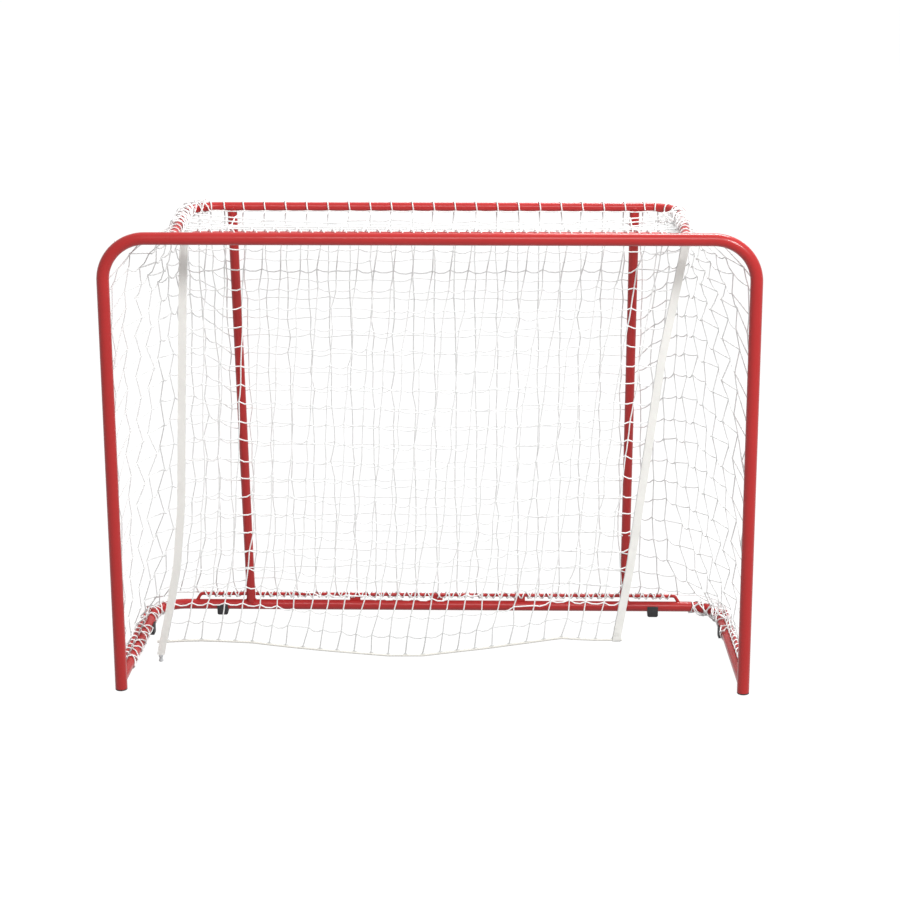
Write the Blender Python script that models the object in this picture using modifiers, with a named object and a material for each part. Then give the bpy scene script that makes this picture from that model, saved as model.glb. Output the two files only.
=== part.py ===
# Multisport goal: a bent tube hoop, a floor frame and a roof frame plugged onto its back,
# two slanting struts, a net laced to thin rods on the tubes, and a loose inner net that
# hangs from a rope and swings.
#
# Metres. +X is to the right seen from the front, +Y to the back and +Z up. The origin is
# on the floor in the middle of the outline. "Depth" below is the distance behind the
# plane of the hoop's tube axis.

import math

import bmesh
import bpy
from mathutils import Matrix, Vector

# Gap left between pieces that touch
GAP = 0.0003

# Mouth and frame
MOUTH_WIDTH = 1.400
MOUTH_HEIGHT = 1.050
BASE_DEPTH = 0.480
BASE_BACK_WIDTH = 1.380
TOP_DEPTH = 0.315
TOP_WIDTH = 1.120
STRUT_SPACING = 0.920

# Tubes: outer diameters, wall and bend radii at the tube's axis
HOOP_TUBE = 0.028
BASE_TUBE = 0.025
TOP_TUBE = 0.020
STRUT_TUBE = 0.022
TUBE_WALL = 0.0015
HOOP_BEND = 0.095
BASE_BEND = 0.075
TOP_BEND = 0.070

# Spigots on the hoop's back, and the screws through the rear tubes into them
SPIGOT_LENGTH = 0.045
SCREW_SETBACK = 0.022
SCREW_DIAMETER = 0.005
SCREW_LENGTH = 0.009
SCREW_HEAD_DIAMETER = 0.010
SCREW_HEAD_HEIGHT = 0.0024
SCREW_HOLE_END = 0.001

# Plugs in the posts' lower ends
CAP_FLANGE = 0.003
CAP_PLUG = 0.016
CAP_EDGE = 0.0008

# Rubber saddles under the base tube
FOOT_PAD = 0.0097
FOOT_WALL = 0.003
FOOT_LENGTH = 0.026
FOOT_LIP = 0.004
FOOT_CHAMFER = 0.003
FOOT_EDGE = 0.0006
BACK_FOOT_SPACING = 1.060
SIDE_FOOT_DEPTH = 0.340

# Lacing rods along the tubes, bent onto the tube at a free end
RAIL_DIAMETER = 0.008
RAIL_STANDOFF = 0.010
RAIL_LEAN = 0.007
RAIL_END_RUN = 0.016
TAB_LENGTH = 0.026
TAB_THICKNESS = 0.003
BACK_TAB_SPACING = 0.203
BACK_RAIL_SPAN = 1.200
SIDE_RAIL_FRONT = 0.060
SIDE_RAIL_BACK = 0.390
POST_RAIL_BOTTOM = 0.070
POST_RAIL_TOP = 0.945
POST_TAB_SPACING = 0.320
BAR_RAIL_SPAN = 1.060
BAR_TAB_SPACING = 0.300

# Goal net: the roof at about the real mesh, the rest at about twice that
NET_CORD = 0.003
ROOF_FRONT_WIDTH = 1.280
ROOF_COLUMNS = 18
ROOF_ROWS = 6
BACK_COLUMNS = 10
BACK_ROWS = 10
SIDE_COLUMNS = 3
LACING_CORD = 0.003
LACING_TURNS_PER_MESH = 2
LACING_PHASE = 0.5
LACING_SLACK = 0.0006
LACING_POINTS = 10

# Inner net, its ropes and its webbing
DROP_DEPTH = 0.150
DROP_COLUMNS = 10
DROP_ROWS = 10
HEADER_ROPE = 0.004
HEADER_SPLICE = 0.0046
HEADER_TAIL = 0.032
HEM_ROPE = 0.006
HEM_HEIGHT = 0.057
HEM_SAG = 0.034
STRAP_WIDTH = 0.018
STRAP_THICKNESS = 0.0015
STRAP_EYE = 0.011
LEFT_STRAP_INSET = 0.011
RIGHT_STRAP_OUTSET = 0.014
LEFT_HEM_INSET = 0.079
RIGHT_HEM_INSET = 0.2854
LEFT_STRAP_END = 0.025
TOGGLE_DIAMETER = 0.011
TOGGLE_LENGTH = 0.016
TOGGLE_WAIST = 0.007
TOGGLE_FACE = 0.0088
TOGGLE_SHOULDER = 0.0024

# Facets
BEND_STEPS = 6
HOOP_SIDES = 16
TUBE_SIDES = 12
RAIL_SIDES = 8
CORD_SIDES = 6
ROPE_SIDES = 8
TURN_STEPS = 16
LOOP_STEPS = 24

hoop_r = HOOP_TUBE / 2
base_r = BASE_TUBE / 2
top_r = TOP_TUBE / 2
strut_r = STRUT_TUBE / 2
rail_r = RAIL_DIAMETER / 2
cord_r = NET_CORD / 2
lacing_r = LACING_CORD / 2
header_r = HEADER_ROPE / 2
splice_r = HEADER_SPLICE / 2
hem_r = HEM_ROPE / 2

post_x = (MOUTH_WIDTH + HOOP_TUBE) / 2
bar_z = MOUTH_HEIGHT + hoop_r
base_z = FOOT_PAD + GAP + base_r
base_back_x = BASE_BACK_WIDTH / 2
side_x = TOP_WIDTH / 2
strut_x = STRUT_SPACING / 2
header_z = bar_z - (top_r + GAP + splice_r)
eye_reach = top_r + GAP + HEADER_SPLICE + 2 * GAP

# The straps' tops keep to the roof tubes, and the hem's ends to the posts
left_strap = (LEFT_STRAP_INSET - side_x, LEFT_HEM_INSET - post_x)
right_strap = (side_x + RIGHT_STRAP_OUTSET, post_x - RIGHT_HEM_INSET)

rear_reach = BASE_DEPTH + base_r + GAP + FOOT_WALL
hoop_y = (hoop_r - rear_reach) / 2


def at(x, depth, z):
    """The point that lies depth behind the hoop's plane."""
    return Vector((x, hoop_y + depth, z))


# The slanting plane of the struts: up along it, and square to it towards the back
strut_foot = at(0, BASE_DEPTH, base_z)
strut_head = at(0, TOP_DEPTH, bar_z)
slope_up = (strut_head - strut_foot).normalized()
slope_back = Vector((0, slope_up.z, -slope_up.y))

# Where the net lies against the rods
net_offset = strut_r + GAP + cord_r
back_rail_lean = strut_r - rail_r
base_rail_reach = base_r + RAIL_STANDOFF + rail_r
hoop_rail_reach = hoop_r + RAIL_STANDOFF + rail_r
back_rail_rise = math.sqrt(base_rail_reach ** 2 - back_rail_lean ** 2)
side_rail_rise = math.sqrt(base_rail_reach ** 2 - RAIL_LEAN ** 2)
post_rail_depth = math.sqrt(hoop_rail_reach ** 2 - RAIL_LEAN ** 2)
bar_rail_rise = top_r - rail_r
bar_rail_depth = math.sqrt(hoop_rail_reach ** 2 - bar_rail_rise ** 2)
rail_to_net = rail_r + GAP + cord_r
net_to_net = 2 * cord_r + GAP
roof_z = bar_z + top_r + GAP + cord_r

parts = bpy.data.collections.new("multisport_goal")
cutters = bpy.data.collections.new("cutters")


def clear_scene():
    for obj in list(bpy.data.objects):
        bpy.data.objects.remove(obj, do_unlink=True)
    bpy.context.scene.collection.children.link(parts)
    bpy.context.scene.collection.children.link(cutters)


def material(name, colour, roughness, metallic=0.0):
    mat = bpy.data.materials.new(name)
    mat.use_nodes = True
    shader = mat.node_tree.nodes["Principled BSDF"]
    shader.inputs["Base Color"].default_value = (*colour, 1.0)
    shader.inputs["Roughness"].default_value = roughness
    shader.inputs["Metallic"].default_value = metallic
    return mat


red_paint = material("red_paint", (0.55, 0.03, 0.025), 0.28)
white_cord = material("white_cord", (0.86, 0.86, 0.85), 0.75)
cream_webbing = material("cream_webbing", (0.80, 0.79, 0.74), 0.8)
black_rubber = material("black_rubber", (0.02, 0.02, 0.022), 0.6)
black_plastic = material("black_plastic", (0.02, 0.02, 0.022), 0.45)
zinc_steel = material("zinc_steel", (0.62, 0.63, 0.64), 0.35, 1.0)
grey_plastic = material("grey_plastic", (0.45, 0.46, 0.47), 0.5)


def as_part(obj, mat):
    """Keep the object as one piece of the goal."""
    obj.data.materials.clear()
    obj.data.materials.append(mat)
    parts.objects.link(obj)
    return obj


def as_cutter(obj):
    """Keep the object only to shape others."""
    cutters.objects.link(obj)
    obj.hide_render = True
    obj.display_type = "WIRE"
    return obj


def mesh_object(name, bm):
    """An object from a bmesh, with its faces pointing out and round faces smooth."""
    bmesh.ops.recalc_face_normals(bm, faces=bm.faces)
    mesh = bpy.data.meshes.new(name)
    bm.to_mesh(mesh)
    bm.free()
    mesh.shade_smooth()
    mesh.set_sharp_from_angle(angle=math.radians(35))
    return bpy.data.objects.new(name, mesh)


def boolean(obj, tool, operation):
    modifier = obj.modifiers.new(operation.lower(), "BOOLEAN")
    modifier.operation = operation
    modifier.object = tool


def join(obj, *tools):
    for tool in tools:
        boolean(obj, tool, "UNION")


def cut(obj, *tools):
    for tool in tools:
        boolean(obj, tool, "DIFFERENCE")


def bend(before, corner, after, radius):
    """Points of the arc that rounds a corner of a route."""
    back = (before - corner).normalized()
    ahead = (after - corner).normalized()
    half = back.angle(ahead) / 2
    reach = radius / math.tan(half)
    centre = corner + (back + ahead).normalized() * (radius / math.sin(half))
    start = corner + back * reach - centre
    end = corner + ahead * reach - centre
    axis = start.cross(end).normalized()
    turn = math.pi - 2 * half
    return [centre + Matrix.Rotation(turn * i / BEND_STEPS, 3, axis) @ start
            for i in range(BEND_STEPS + 1)]


def round_bar(name, points, radius, sides, closed=False, hollow=False):
    """A round bar along the points. A hollow one is left as an open skin."""
    curve = bpy.data.curves.new(name, "CURVE")
    curve.dimensions = "3D"
    curve.bevel_depth = radius
    curve.bevel_resolution = sides // 2 - 2
    curve.use_fill_caps = not (closed or hollow)
    spline = curve.splines.new("POLY")
    spline.points.add(len(points) - 1)
    spline.use_cyclic_u = closed
    for spot, point in zip(spline.points, points):
        spot.co = (*point, 1.0)
    guide = bpy.data.objects.new(name + "_route", curve)
    bpy.context.scene.collection.objects.link(guide)
    depsgraph = bpy.context.evaluated_depsgraph_get()
    mesh = bpy.data.meshes.new_from_object(guide.evaluated_get(depsgraph))
    place = guide.matrix_world.copy()
    bpy.data.objects.remove(guide, do_unlink=True)
    bm = bmesh.new()
    bm.from_mesh(mesh)
    bpy.data.meshes.remove(mesh)
    bmesh.ops.remove_doubles(bm, verts=bm.verts, dist=0.00001)
    obj = mesh_object(name, bm)
    obj.matrix_world = place
    return obj


def pipe(name, points, radius, sides):
    """A tube with open ends along the points."""
    obj = round_bar(name, points, radius, sides, hollow=True)
    wall = obj.modifiers.new("wall", "SOLIDIFY")
    wall.thickness = TUBE_WALL
    wall.offset = -1
    wall.use_even_offset = True
    return obj


def turned(name, profile, matrix, steps=TURN_STEPS):
    """A turned piece: the profile (radius, height) from top to bottom, spun about Z."""
    mesh = bpy.data.meshes.new(name)
    mesh.from_pydata([(r, 0, z) for r, z in profile],
                     [(i, i + 1) for i in range(len(profile) - 1)], [])
    obj = bpy.data.objects.new(name, mesh)
    spin = obj.modifiers.new("spin", "SCREW")
    spin.steps = steps
    spin.render_steps = steps
    spin.use_merge_vertices = True
    spin.merge_threshold = 0.00001
    spin.use_smooth_shade = True
    obj.matrix_world = matrix
    return obj


def box(name, size, matrix, chamfer_bottom=0.0, edge=0.0):
    """A box about its centre, with a chamfer across each end of its bottom."""
    bm = bmesh.new()
    bmesh.ops.create_cube(bm, size=1.0)
    bmesh.ops.scale(bm, vec=size, verts=bm.verts)
    if chamfer_bottom:
        ends = [e for e in bm.edges
                if all(v.co.z < 0 for v in e.verts) and e.verts[0].co.x * e.verts[1].co.x > 0]
        bmesh.ops.bevel(bm, geom=ends, offset=chamfer_bottom, segments=1, affect="EDGES", profile=0.5)
    bmesh.ops.transform(bm, matrix=matrix, verts=bm.verts)
    obj = mesh_object(name, bm)
    if edge:
        soften = obj.modifiers.new("edges", "BEVEL")
        soften.width = edge
        soften.segments = 1
        soften.limit_method = "ANGLE"
    return obj


def frame_matrix(origin, x_axis, z_axis):
    """The placing whose X and Z run along the two given directions."""
    x_dir = x_axis.normalized()
    z_dir = (z_axis - x_dir * z_axis.dot(x_dir)).normalized()
    y_dir = z_dir.cross(x_dir)
    matrix = Matrix((x_dir, y_dir, z_dir)).transposed().to_4x4()
    matrix.translation = origin
    return matrix


def side_name(stem, sign):
    return stem + ("_left" if sign < 0 else "_right")


# Routes of the bent tubes

def hoop_route(overrun=0.0):
    foot = CAP_FLANGE + GAP - overrun
    left_foot, right_foot = at(-post_x, 0, foot), at(post_x, 0, foot)
    left_top, right_top = at(-post_x, 0, bar_z), at(post_x, 0, bar_z)
    return [left_foot,
            *bend(left_foot, left_top, right_top, HOOP_BEND),
            *bend(left_top, right_top, right_foot, HOOP_BEND),
            right_foot]


def rear_route(front_x, back_x, depth, z, radius):
    left_front, right_front = at(-front_x, 0, z), at(front_x, 0, z)
    left_back, right_back = at(-back_x, depth, z), at(back_x, depth, z)
    return [left_front,
            *bend(left_front, left_back, right_back, radius),
            *bend(left_back, right_back, right_front, radius),
            right_front]


base_route = rear_route(post_x, base_back_x, BASE_DEPTH, base_z, BASE_BEND)
top_route = rear_route(side_x, side_x, TOP_DEPTH, bar_z, TOP_BEND)


def base_side(sign):
    """Start and direction of a side tube of the base."""
    start = at(sign * post_x, 0, base_z)
    return start, (at(sign * base_back_x, BASE_DEPTH, base_z) - start).normalized()


def top_side(sign):
    return at(sign * side_x, 0, bar_z), Vector((0, 1, 0))


def socket_screw_places():
    """Name, tube axis point, way out of the tube and tube radius of each screw."""
    places = []
    for sign in (-1, 1):
        start, run = base_side(sign)
        outward = run.cross(Vector((0, 0, 1))) * sign
        spot = start + run * (hoop_r + SCREW_SETBACK)
        places.append((side_name("base_screw", sign), spot, outward, base_r))
        start, run = top_side(sign)
        spot = start + run * (hoop_r + SCREW_SETBACK)
        places.append((side_name("top_screw", sign), spot, Vector((0, 0, -1)), top_r))
    return places


def screw_holes():
    depth = SCREW_LENGTH + SCREW_HOLE_END
    holes = []
    for name, spot, outward, tube_r in socket_screw_places():
        inner = spot + outward * (tube_r + GAP - depth)
        outer = spot + outward * (tube_r + 2 * SCREW_HEAD_HEIGHT)
        hole = round_bar(name + "_hole", [inner, outer], SCREW_DIAMETER / 2 + GAP, TUBE_SIDES)
        holes.append(as_cutter(hole))
    return holes


def make_frame():
    """The hoop with its spigots, and the three kinds of tube behind it."""
    holes = screw_holes()
    clear = {
        "hoop": round_bar("hoop_clear", hoop_route(), hoop_r + GAP, HOOP_SIDES),
        "base": round_bar("base_clear", base_route, base_r + GAP, HOOP_SIDES),
        "top": round_bar("top_clear", top_route, top_r + GAP, TUBE_SIDES),
    }
    for tool in clear.values():
        as_cutter(tool)

    hoop = as_part(round_bar("front_hoop", hoop_route(), hoop_r, HOOP_SIDES), red_paint)
    for sign in (-1, 1):
        for stem, (start, run), tube_r in (("base", base_side(sign), base_r),
                                           ("top", top_side(sign), top_r)):
            tip = start + run * (hoop_r + SPIGOT_LENGTH)
            spigot = round_bar(side_name(stem + "_spigot", sign), [start, tip],
                               tube_r - TUBE_WALL - GAP, TUBE_SIDES)
            join(hoop, as_cutter(spigot))
    bore = round_bar("hoop_bore", hoop_route(overrun=HOOP_TUBE), hoop_r - TUBE_WALL, HOOP_SIDES)
    cut(hoop, as_cutter(bore), *holes)

    base = as_part(pipe("base_frame", base_route, base_r, HOOP_SIDES), red_paint)
    top = as_part(pipe("top_frame", top_route, top_r, TUBE_SIDES), red_paint)
    for tube in (base, top):
        cut(tube, clear["hoop"], *holes)

    for sign in (-1, 1):
        shift = Vector((sign * strut_x, 0, 0))
        strut = pipe(side_name("strut", sign), [strut_foot + shift, strut_head + shift],
                     strut_r, TUBE_SIDES)
        cut(as_part(strut, red_paint), clear["base"], clear["top"])
    return clear


def make_screws():
    head_r = SCREW_HEAD_DIAMETER / 2
    shank_r = SCREW_DIAMETER / 2
    crown = [(head_r * math.sin(math.radians(a)), SCREW_HEAD_HEIGHT * math.cos(math.radians(a)))
             for a in (0, 35, 65, 90)]
    profile = [*crown, (shank_r, 0), (shank_r, -SCREW_LENGTH + SCREW_HOLE_END), (0, -SCREW_LENGTH)]
    for name, spot, outward, tube_r in socket_screw_places():
        seat = spot + outward * (tube_r + GAP)
        place = frame_matrix(seat, outward.orthogonal(), outward)
        as_part(turned(name, profile, place, TUBE_SIDES), zinc_steel)


def make_foot_caps():
    plug_r = hoop_r - TUBE_WALL - 2 * GAP
    profile = [(0, CAP_FLANGE + CAP_PLUG),
               (plug_r - CAP_EDGE, CAP_FLANGE + CAP_PLUG),
               (plug_r, CAP_FLANGE + CAP_PLUG - CAP_EDGE),
               (plug_r, CAP_FLANGE),
               (hoop_r, CAP_FLANGE),
               (hoop_r, CAP_EDGE),
               (hoop_r - CAP_EDGE, 0),
               (0, 0)]
    for sign in (-1, 1):
        place = Matrix.Translation(at(sign * post_x, 0, 0))
        as_part(turned(side_name("foot_cap", sign), profile, place), black_plastic)


def make_feet(clear):
    """Saddles that snap round the base tube, open above it."""
    height = base_z + FOOT_LIP
    across = 2 * (base_r + GAP + FOOT_WALL)
    places = []
    for sign in (-1, 1):
        back = at(sign * BACK_FOOT_SPACING / 2, BASE_DEPTH, height / 2)
        places.append((side_name("foot_back", sign), back, Vector((1, 0, 0))))
        start, run = base_side(sign)
        side = start + run * (SIDE_FOOT_DEPTH / run.y)
        side.z = height / 2
        places.append((side_name("foot_side", sign), side, run))
    for name, centre, run in places:
        foot = box(name, (FOOT_LENGTH, across, height),
                   frame_matrix(centre, run, Vector((0, 0, 1))), FOOT_CHAMFER, FOOT_EDGE)
        cut(as_part(foot, black_rubber), clear["base"])


def make_rail(name, points, tabs, stand, tool):
    """A lacing rod that stands off its tube's axis by the given vector, on flat tabs."""
    rail = as_part(round_bar(name, points, rail_r, RAIL_SIDES), red_paint)
    for number, (spot, run) in enumerate(tabs):
        tab = box(f"{name}_tab_{number}", (TAB_LENGTH, TAB_THICKNESS, stand.length),
                  frame_matrix(spot - stand / 2, run, -stand))
        join(rail, as_cutter(tab))
    cut(rail, tool)


def bent_down(start, end, stand, both=True):
    """A rod's points with its ends turned onto the tube, or only the far end."""
    run = (end - start).normalized() * RAIL_END_RUN
    points = [start, end, end - stand + run]
    if both:
        points.insert(0, start - stand - run)
    return points


def make_rails(clear):
    x_run = Vector((1, 0, 0))

    # Back bar: one rod between the struts, and one from each strut to the corner
    stand = slope_up * back_rail_rise + slope_back * back_rail_lean
    inner = strut_x - strut_r - GAP
    outer = strut_x + strut_r + GAP
    row = strut_foot + stand
    tabs = [(row + x_run * BACK_TAB_SPACING * k, x_run) for k in (-1, 0, 1)]
    make_rail("rail_back_centre", [row - x_run * inner, row + x_run * inner], tabs, stand, clear["base"])
    for sign in (-1, 1):
        far = sign * (BACK_RAIL_SPAN / 2 - RAIL_END_RUN)
        points = bent_down(row + x_run * sign * outer, row + x_run * far, stand, both=False)
        make_rail(side_name("rail_back", sign), points, [], stand, clear["base"])

    for sign in (-1, 1):
        # Side tube of the base
        start, run = base_side(sign)
        outward = run.cross(Vector((0, 0, 1))) * sign
        stand = outward * RAIL_LEAN + Vector((0, 0, side_rail_rise))
        near, far = (start + run * (depth / run.y) + stand for depth in (SIDE_RAIL_FRONT, SIDE_RAIL_BACK))
        tabs = [((near + far) / 2, run)]
        make_rail(side_name("rail_base", sign), bent_down(near, far, stand), tabs, stand, clear["base"])

        # Back of the post
        stand = Vector((sign * RAIL_LEAN, post_rail_depth, 0))
        low, high = (at(sign * post_x, 0, z) + stand for z in (POST_RAIL_BOTTOM, POST_RAIL_TOP))
        up = Vector((0, 0, POST_TAB_SPACING / 2))
        tabs = [((low + high) / 2 + up * k, up) for k in (-1, 1)]
        make_rail(side_name("rail_post", sign), bent_down(low, high, stand), tabs, stand, clear["hoop"])

    # Back of the crossbar
    stand = Vector((0, bar_rail_depth, bar_rail_rise))
    middle = at(0, 0, bar_z) + stand
    reach = x_run * (BAR_RAIL_SPAN / 2 - RAIL_END_RUN)
    tabs = [(middle + x_run * BAR_TAB_SPACING * k, x_run) for k in (-1, 0, 1)]
    make_rail("rail_crossbar", bent_down(middle - reach, middle + reach, stand), tabs, stand, clear["hoop"])


def net_panel(name, corners, columns, rows, sag=0.0):
    """A flat net of square meshes. Corners: bottom left, bottom right, top left, top right."""
    bottom_left, bottom_right, top_left, top_right = corners
    bm = bmesh.new()
    bmesh.ops.create_grid(bm, x_segments=columns, y_segments=rows, size=0.5)
    for vert in bm.verts:
        across, up = vert.co.x + 0.5, vert.co.y + 0.5
        low = bottom_left.lerp(bottom_right, across)
        low.z -= sag * 4 * across * (1 - across)
        vert.co = low.lerp(top_left.lerp(top_right, across), up)
    obj = mesh_object(name, bm)
    cords = obj.modifiers.new("cords", "WIREFRAME")
    cords.thickness = NET_CORD
    cords.use_boundary = True
    cords.use_replace = True
    cords.use_even_offset = True
    return as_part(obj, white_cord)


def beside_base_rod(y):
    """How far out a net lies that passes the base tube's rod on the outside."""
    start, run = base_side(1)
    return start.x + (run.x * (y - start.y) + RAIL_LEAN + rail_to_net) / run.y


def back_net_edge(sign):
    """Bottom and top of a side edge of the back net."""
    low = strut_foot + slope_up * back_rail_rise + slope_back * net_offset
    top_x = side_x + top_r + GAP + cord_r
    bottom_x = max(base_back_x + RAIL_LEAN + rail_to_net, beside_base_rod(low.y))
    high = strut_head + slope_back * net_offset
    high += slope_up * ((roof_z - net_to_net - high.z) / slope_up.z)
    return low + Vector((sign * bottom_x, 0, 0)), high + Vector((sign * top_x, 0, 0))


def make_goal_net():
    low_left, high_left = back_net_edge(-1)
    low_right, high_right = back_net_edge(1)
    net_panel("net_back", (low_left, low_right, high_left, high_right), BACK_COLUMNS, BACK_ROWS)

    front = [at(sign * ROOF_FRONT_WIDTH / 2, bar_rail_depth, roof_z) for sign in (-1, 1)]
    back = [Vector((high.x, high.y, roof_z)) for high in (high_left, high_right)]
    net_panel("net_roof", (*front, *back), ROOF_COLUMNS, ROOF_ROWS)

    for sign in (-1, 1):
        low, high = (point - slope_back * net_to_net for point in back_net_edge(sign))
        beside_post_rod = post_x + RAIL_LEAN + rail_to_net
        front_high = at(sign * beside_post_rod, post_rail_depth, bar_z - HOOP_BEND)
        front_low = at(sign * max(beside_post_rod, beside_base_rod(front_high.y)),
                       post_rail_depth, base_z + side_rail_rise)
        net_panel(side_name("net_side", sign), (front_low, low, front_high, high),
                  SIDE_COLUMNS, BACK_ROWS)


def make_lacing():
    """The cord wound round the centre back rod and the net's lower edge."""
    low_left, _ = back_net_edge(-1)
    low_right, _ = back_net_edge(1)
    pitch = (low_right.x - low_left.x) / BACK_COLUMNS / LACING_TURNS_PER_MESH
    near = back_rail_lean - rail_r
    far = net_offset + cord_r
    flatten = math.cos(math.pi / LACING_POINTS)
    reach_back = ((far - near) / 2 + GAP + lacing_r) / flatten + LACING_SLACK
    reach_up = (rail_r + GAP + lacing_r) / flatten + LACING_SLACK
    middle = strut_foot + slope_up * back_rail_rise + slope_back * (near + far) / 2
    room = strut_x - strut_r - GAP - 2 * LACING_CORD
    turns = math.floor(2 * room / pitch)
    points = []
    for i in range(turns * LACING_POINTS + 1):
        turn = i / LACING_POINTS - turns / 2
        angle = 2 * math.pi * (turn + LACING_PHASE) - math.pi / 2
        points.append(middle + Vector((pitch * turn, 0, 0))
                      + slope_back * reach_back * math.cos(angle)
                      + slope_up * reach_up * math.sin(angle))
    end_run = Vector((LACING_CORD, 0, 0))
    points = [points[0] - end_run, *points, points[-1] + end_run]
    apart = min((near - far).length for i, near in enumerate(points)
                for far in points[i + LACING_POINTS // 2:])
    print(f"least gap of the lacing to itself: {(apart - LACING_CORD) * 1000:.2f} mm")
    as_part(round_bar("lacing_centre", points, lacing_r, CORD_SIDES), white_cord)


def make_header_rope():
    """The rope under the side tubes, with a spliced loop round each of them."""
    rope = round_bar("header_rope",
                     [at(sign * (side_x + HEADER_TAIL), DROP_DEPTH, header_z) for sign in (-1, 1)],
                     header_r, ROPE_SIDES)
    as_part(rope, white_cord)
    loop_r = (top_r + GAP + splice_r) / math.cos(math.pi / LOOP_STEPS)
    for sign in (-1, 1):
        centre = at(sign * side_x, DROP_DEPTH, bar_z)
        angles = [2 * math.pi * i / LOOP_STEPS for i in range(LOOP_STEPS)]
        ring = [centre + Vector((math.cos(a), 0, math.sin(a))) * loop_r for a in angles]
        loop = round_bar(side_name("header_loop", sign), ring, splice_r, ROPE_SIDES, closed=True)
        join(rope, as_cutter(loop))


def strap_centre(strap, z):
    """The middle of a strap at a height."""
    top_x, hem_x = strap
    share = (z - HEM_HEIGHT) / (header_z - HEM_HEIGHT)
    return at(hem_x + (top_x - hem_x) * share, DROP_DEPTH, z)


def make_strap(name, line, end_z, rope_clear):
    """A webbing strap that hangs by an eye from the rope. Returns its low end's placing."""
    high = strap_centre(line, header_z - header_r - GAP - STRAP_THICKNESS / 2)
    low = strap_centre(line, end_z)
    rise = high - low
    low_end = frame_matrix(low, Vector((rise.z, 0, -rise.x)), rise)
    strap = box(name, (STRAP_WIDTH, STRAP_THICKNESS, rise.length),
                low_end @ Matrix.Translation((0, 0, rise.length / 2)))
    as_part(strap, cream_webbing)
    near = math.copysign(side_x, high.x) + eye_reach
    eye = round_bar(name + "_eye",
                    [at(x, DROP_DEPTH, header_z) for x in (near, near + STRAP_EYE)],
                    header_r + GAP + STRAP_THICKNESS, TUBE_SIDES)
    join(strap, as_cutter(eye))
    cut(strap, rope_clear)
    return low_end


def make_drop_net():
    rope_clear = round_bar("rope_clear",
                           [at(sign * post_x, DROP_DEPTH, header_z) for sign in (-1, 1)],
                           header_r + GAP, TUBE_SIDES)
    as_cutter(rope_clear)
    left_end = make_strap("drop_strap_left", left_strap, LEFT_STRAP_END, rope_clear)
    make_strap("drop_strap_right", right_strap, HEM_HEIGHT - HEM_ROPE, rope_clear)

    # The net between the straps, its hem rope, and the toggle on the left strap's tail
    half_strap = Vector((STRAP_WIDTH / 2 + GAP + cord_r, 0, 0))
    top_z = header_z - splice_r - GAP - cord_r
    low_left = strap_centre(left_strap, HEM_HEIGHT) + half_strap
    low_right = strap_centre(right_strap, HEM_HEIGHT) - half_strap
    top_left = at(eye_reach + STRAP_EYE + GAP + cord_r - side_x, DROP_DEPTH, top_z)
    top_right = strap_centre(right_strap, top_z) - half_strap
    net_panel("drop_net", (low_left, low_right, top_left, top_right), DROP_COLUMNS, DROP_ROWS, HEM_SAG)

    below = Vector((0, 0, cord_r + GAP + hem_r))
    hem = []
    for i in range(DROP_COLUMNS + 1):
        across = i / DROP_COLUMNS
        point = low_left.lerp(low_right, across) - below
        point.z -= HEM_SAG * 4 * across * (1 - across)
        hem.append(point)
    as_part(round_bar("drop_hem_rope", hem, hem_r, ROPE_SIDES), white_cord)

    face_r = TOGGLE_FACE / 2
    end_r = TOGGLE_DIAMETER / 2
    profile = [(0, 0),
               (face_r, 0),
               (end_r, -TOGGLE_SHOULDER),
               (TOGGLE_WAIST / 2, -TOGGLE_LENGTH / 2),
               (end_r, TOGGLE_SHOULDER - TOGGLE_LENGTH),
               (face_r, -TOGGLE_LENGTH),
               (0, -TOGGLE_LENGTH)]
    place = left_end @ Matrix.Translation((0, 0, -GAP))
    as_part(turned("strap_toggle", profile, place, TUBE_SIDES), grey_plastic)


def main():
    clear_scene()
    clear = make_frame()
    make_screws()
    make_foot_caps()
    make_feet(clear)
    make_rails(clear)
    make_goal_net()
    make_lacing()
    make_header_rope()
    make_drop_net()


main()
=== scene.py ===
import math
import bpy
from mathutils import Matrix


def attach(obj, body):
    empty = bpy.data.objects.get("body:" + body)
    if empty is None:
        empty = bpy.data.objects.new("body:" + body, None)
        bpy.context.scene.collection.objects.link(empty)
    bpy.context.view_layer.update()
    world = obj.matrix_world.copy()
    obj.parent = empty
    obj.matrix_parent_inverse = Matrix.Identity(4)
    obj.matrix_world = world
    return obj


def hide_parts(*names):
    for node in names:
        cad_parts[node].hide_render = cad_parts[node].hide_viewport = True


bl_info = {
    "name": "Multisport goal",
    "version": (1, 0, 0),
    "blender": (4, 5, 0),
    "location": "View3D > Sidebar > Goal",
    "description": "Dresses the goal's packed frame with tubes, nets, ropes and webbing",
    "category": "Add Mesh",
}

from types import SimpleNamespace

import bmesh
import bpy
import numpy as np
from bpy.props import FloatProperty, FloatVectorProperty, IntProperty, PointerProperty
from mathutils import Matrix, Vector

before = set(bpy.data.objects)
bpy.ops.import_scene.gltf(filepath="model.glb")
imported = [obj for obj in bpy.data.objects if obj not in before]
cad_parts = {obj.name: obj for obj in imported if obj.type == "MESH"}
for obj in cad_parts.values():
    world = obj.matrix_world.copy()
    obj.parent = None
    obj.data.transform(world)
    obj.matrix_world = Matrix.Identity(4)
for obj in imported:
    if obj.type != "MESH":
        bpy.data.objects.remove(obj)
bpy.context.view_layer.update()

FRAME_BODY = "goal_frame"
NET_BODY = "inner_net"
X_AXIS = Vector((1, 0, 0))
Y_AXIS = Vector((0, 1, 0))
Z_AXIS = Vector((0, 0, 1))


def length_setting(name, description, default):
    return FloatProperty(name=name, description=description, default=default, min=0.0,
                         unit="LENGTH", precision=4)


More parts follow.
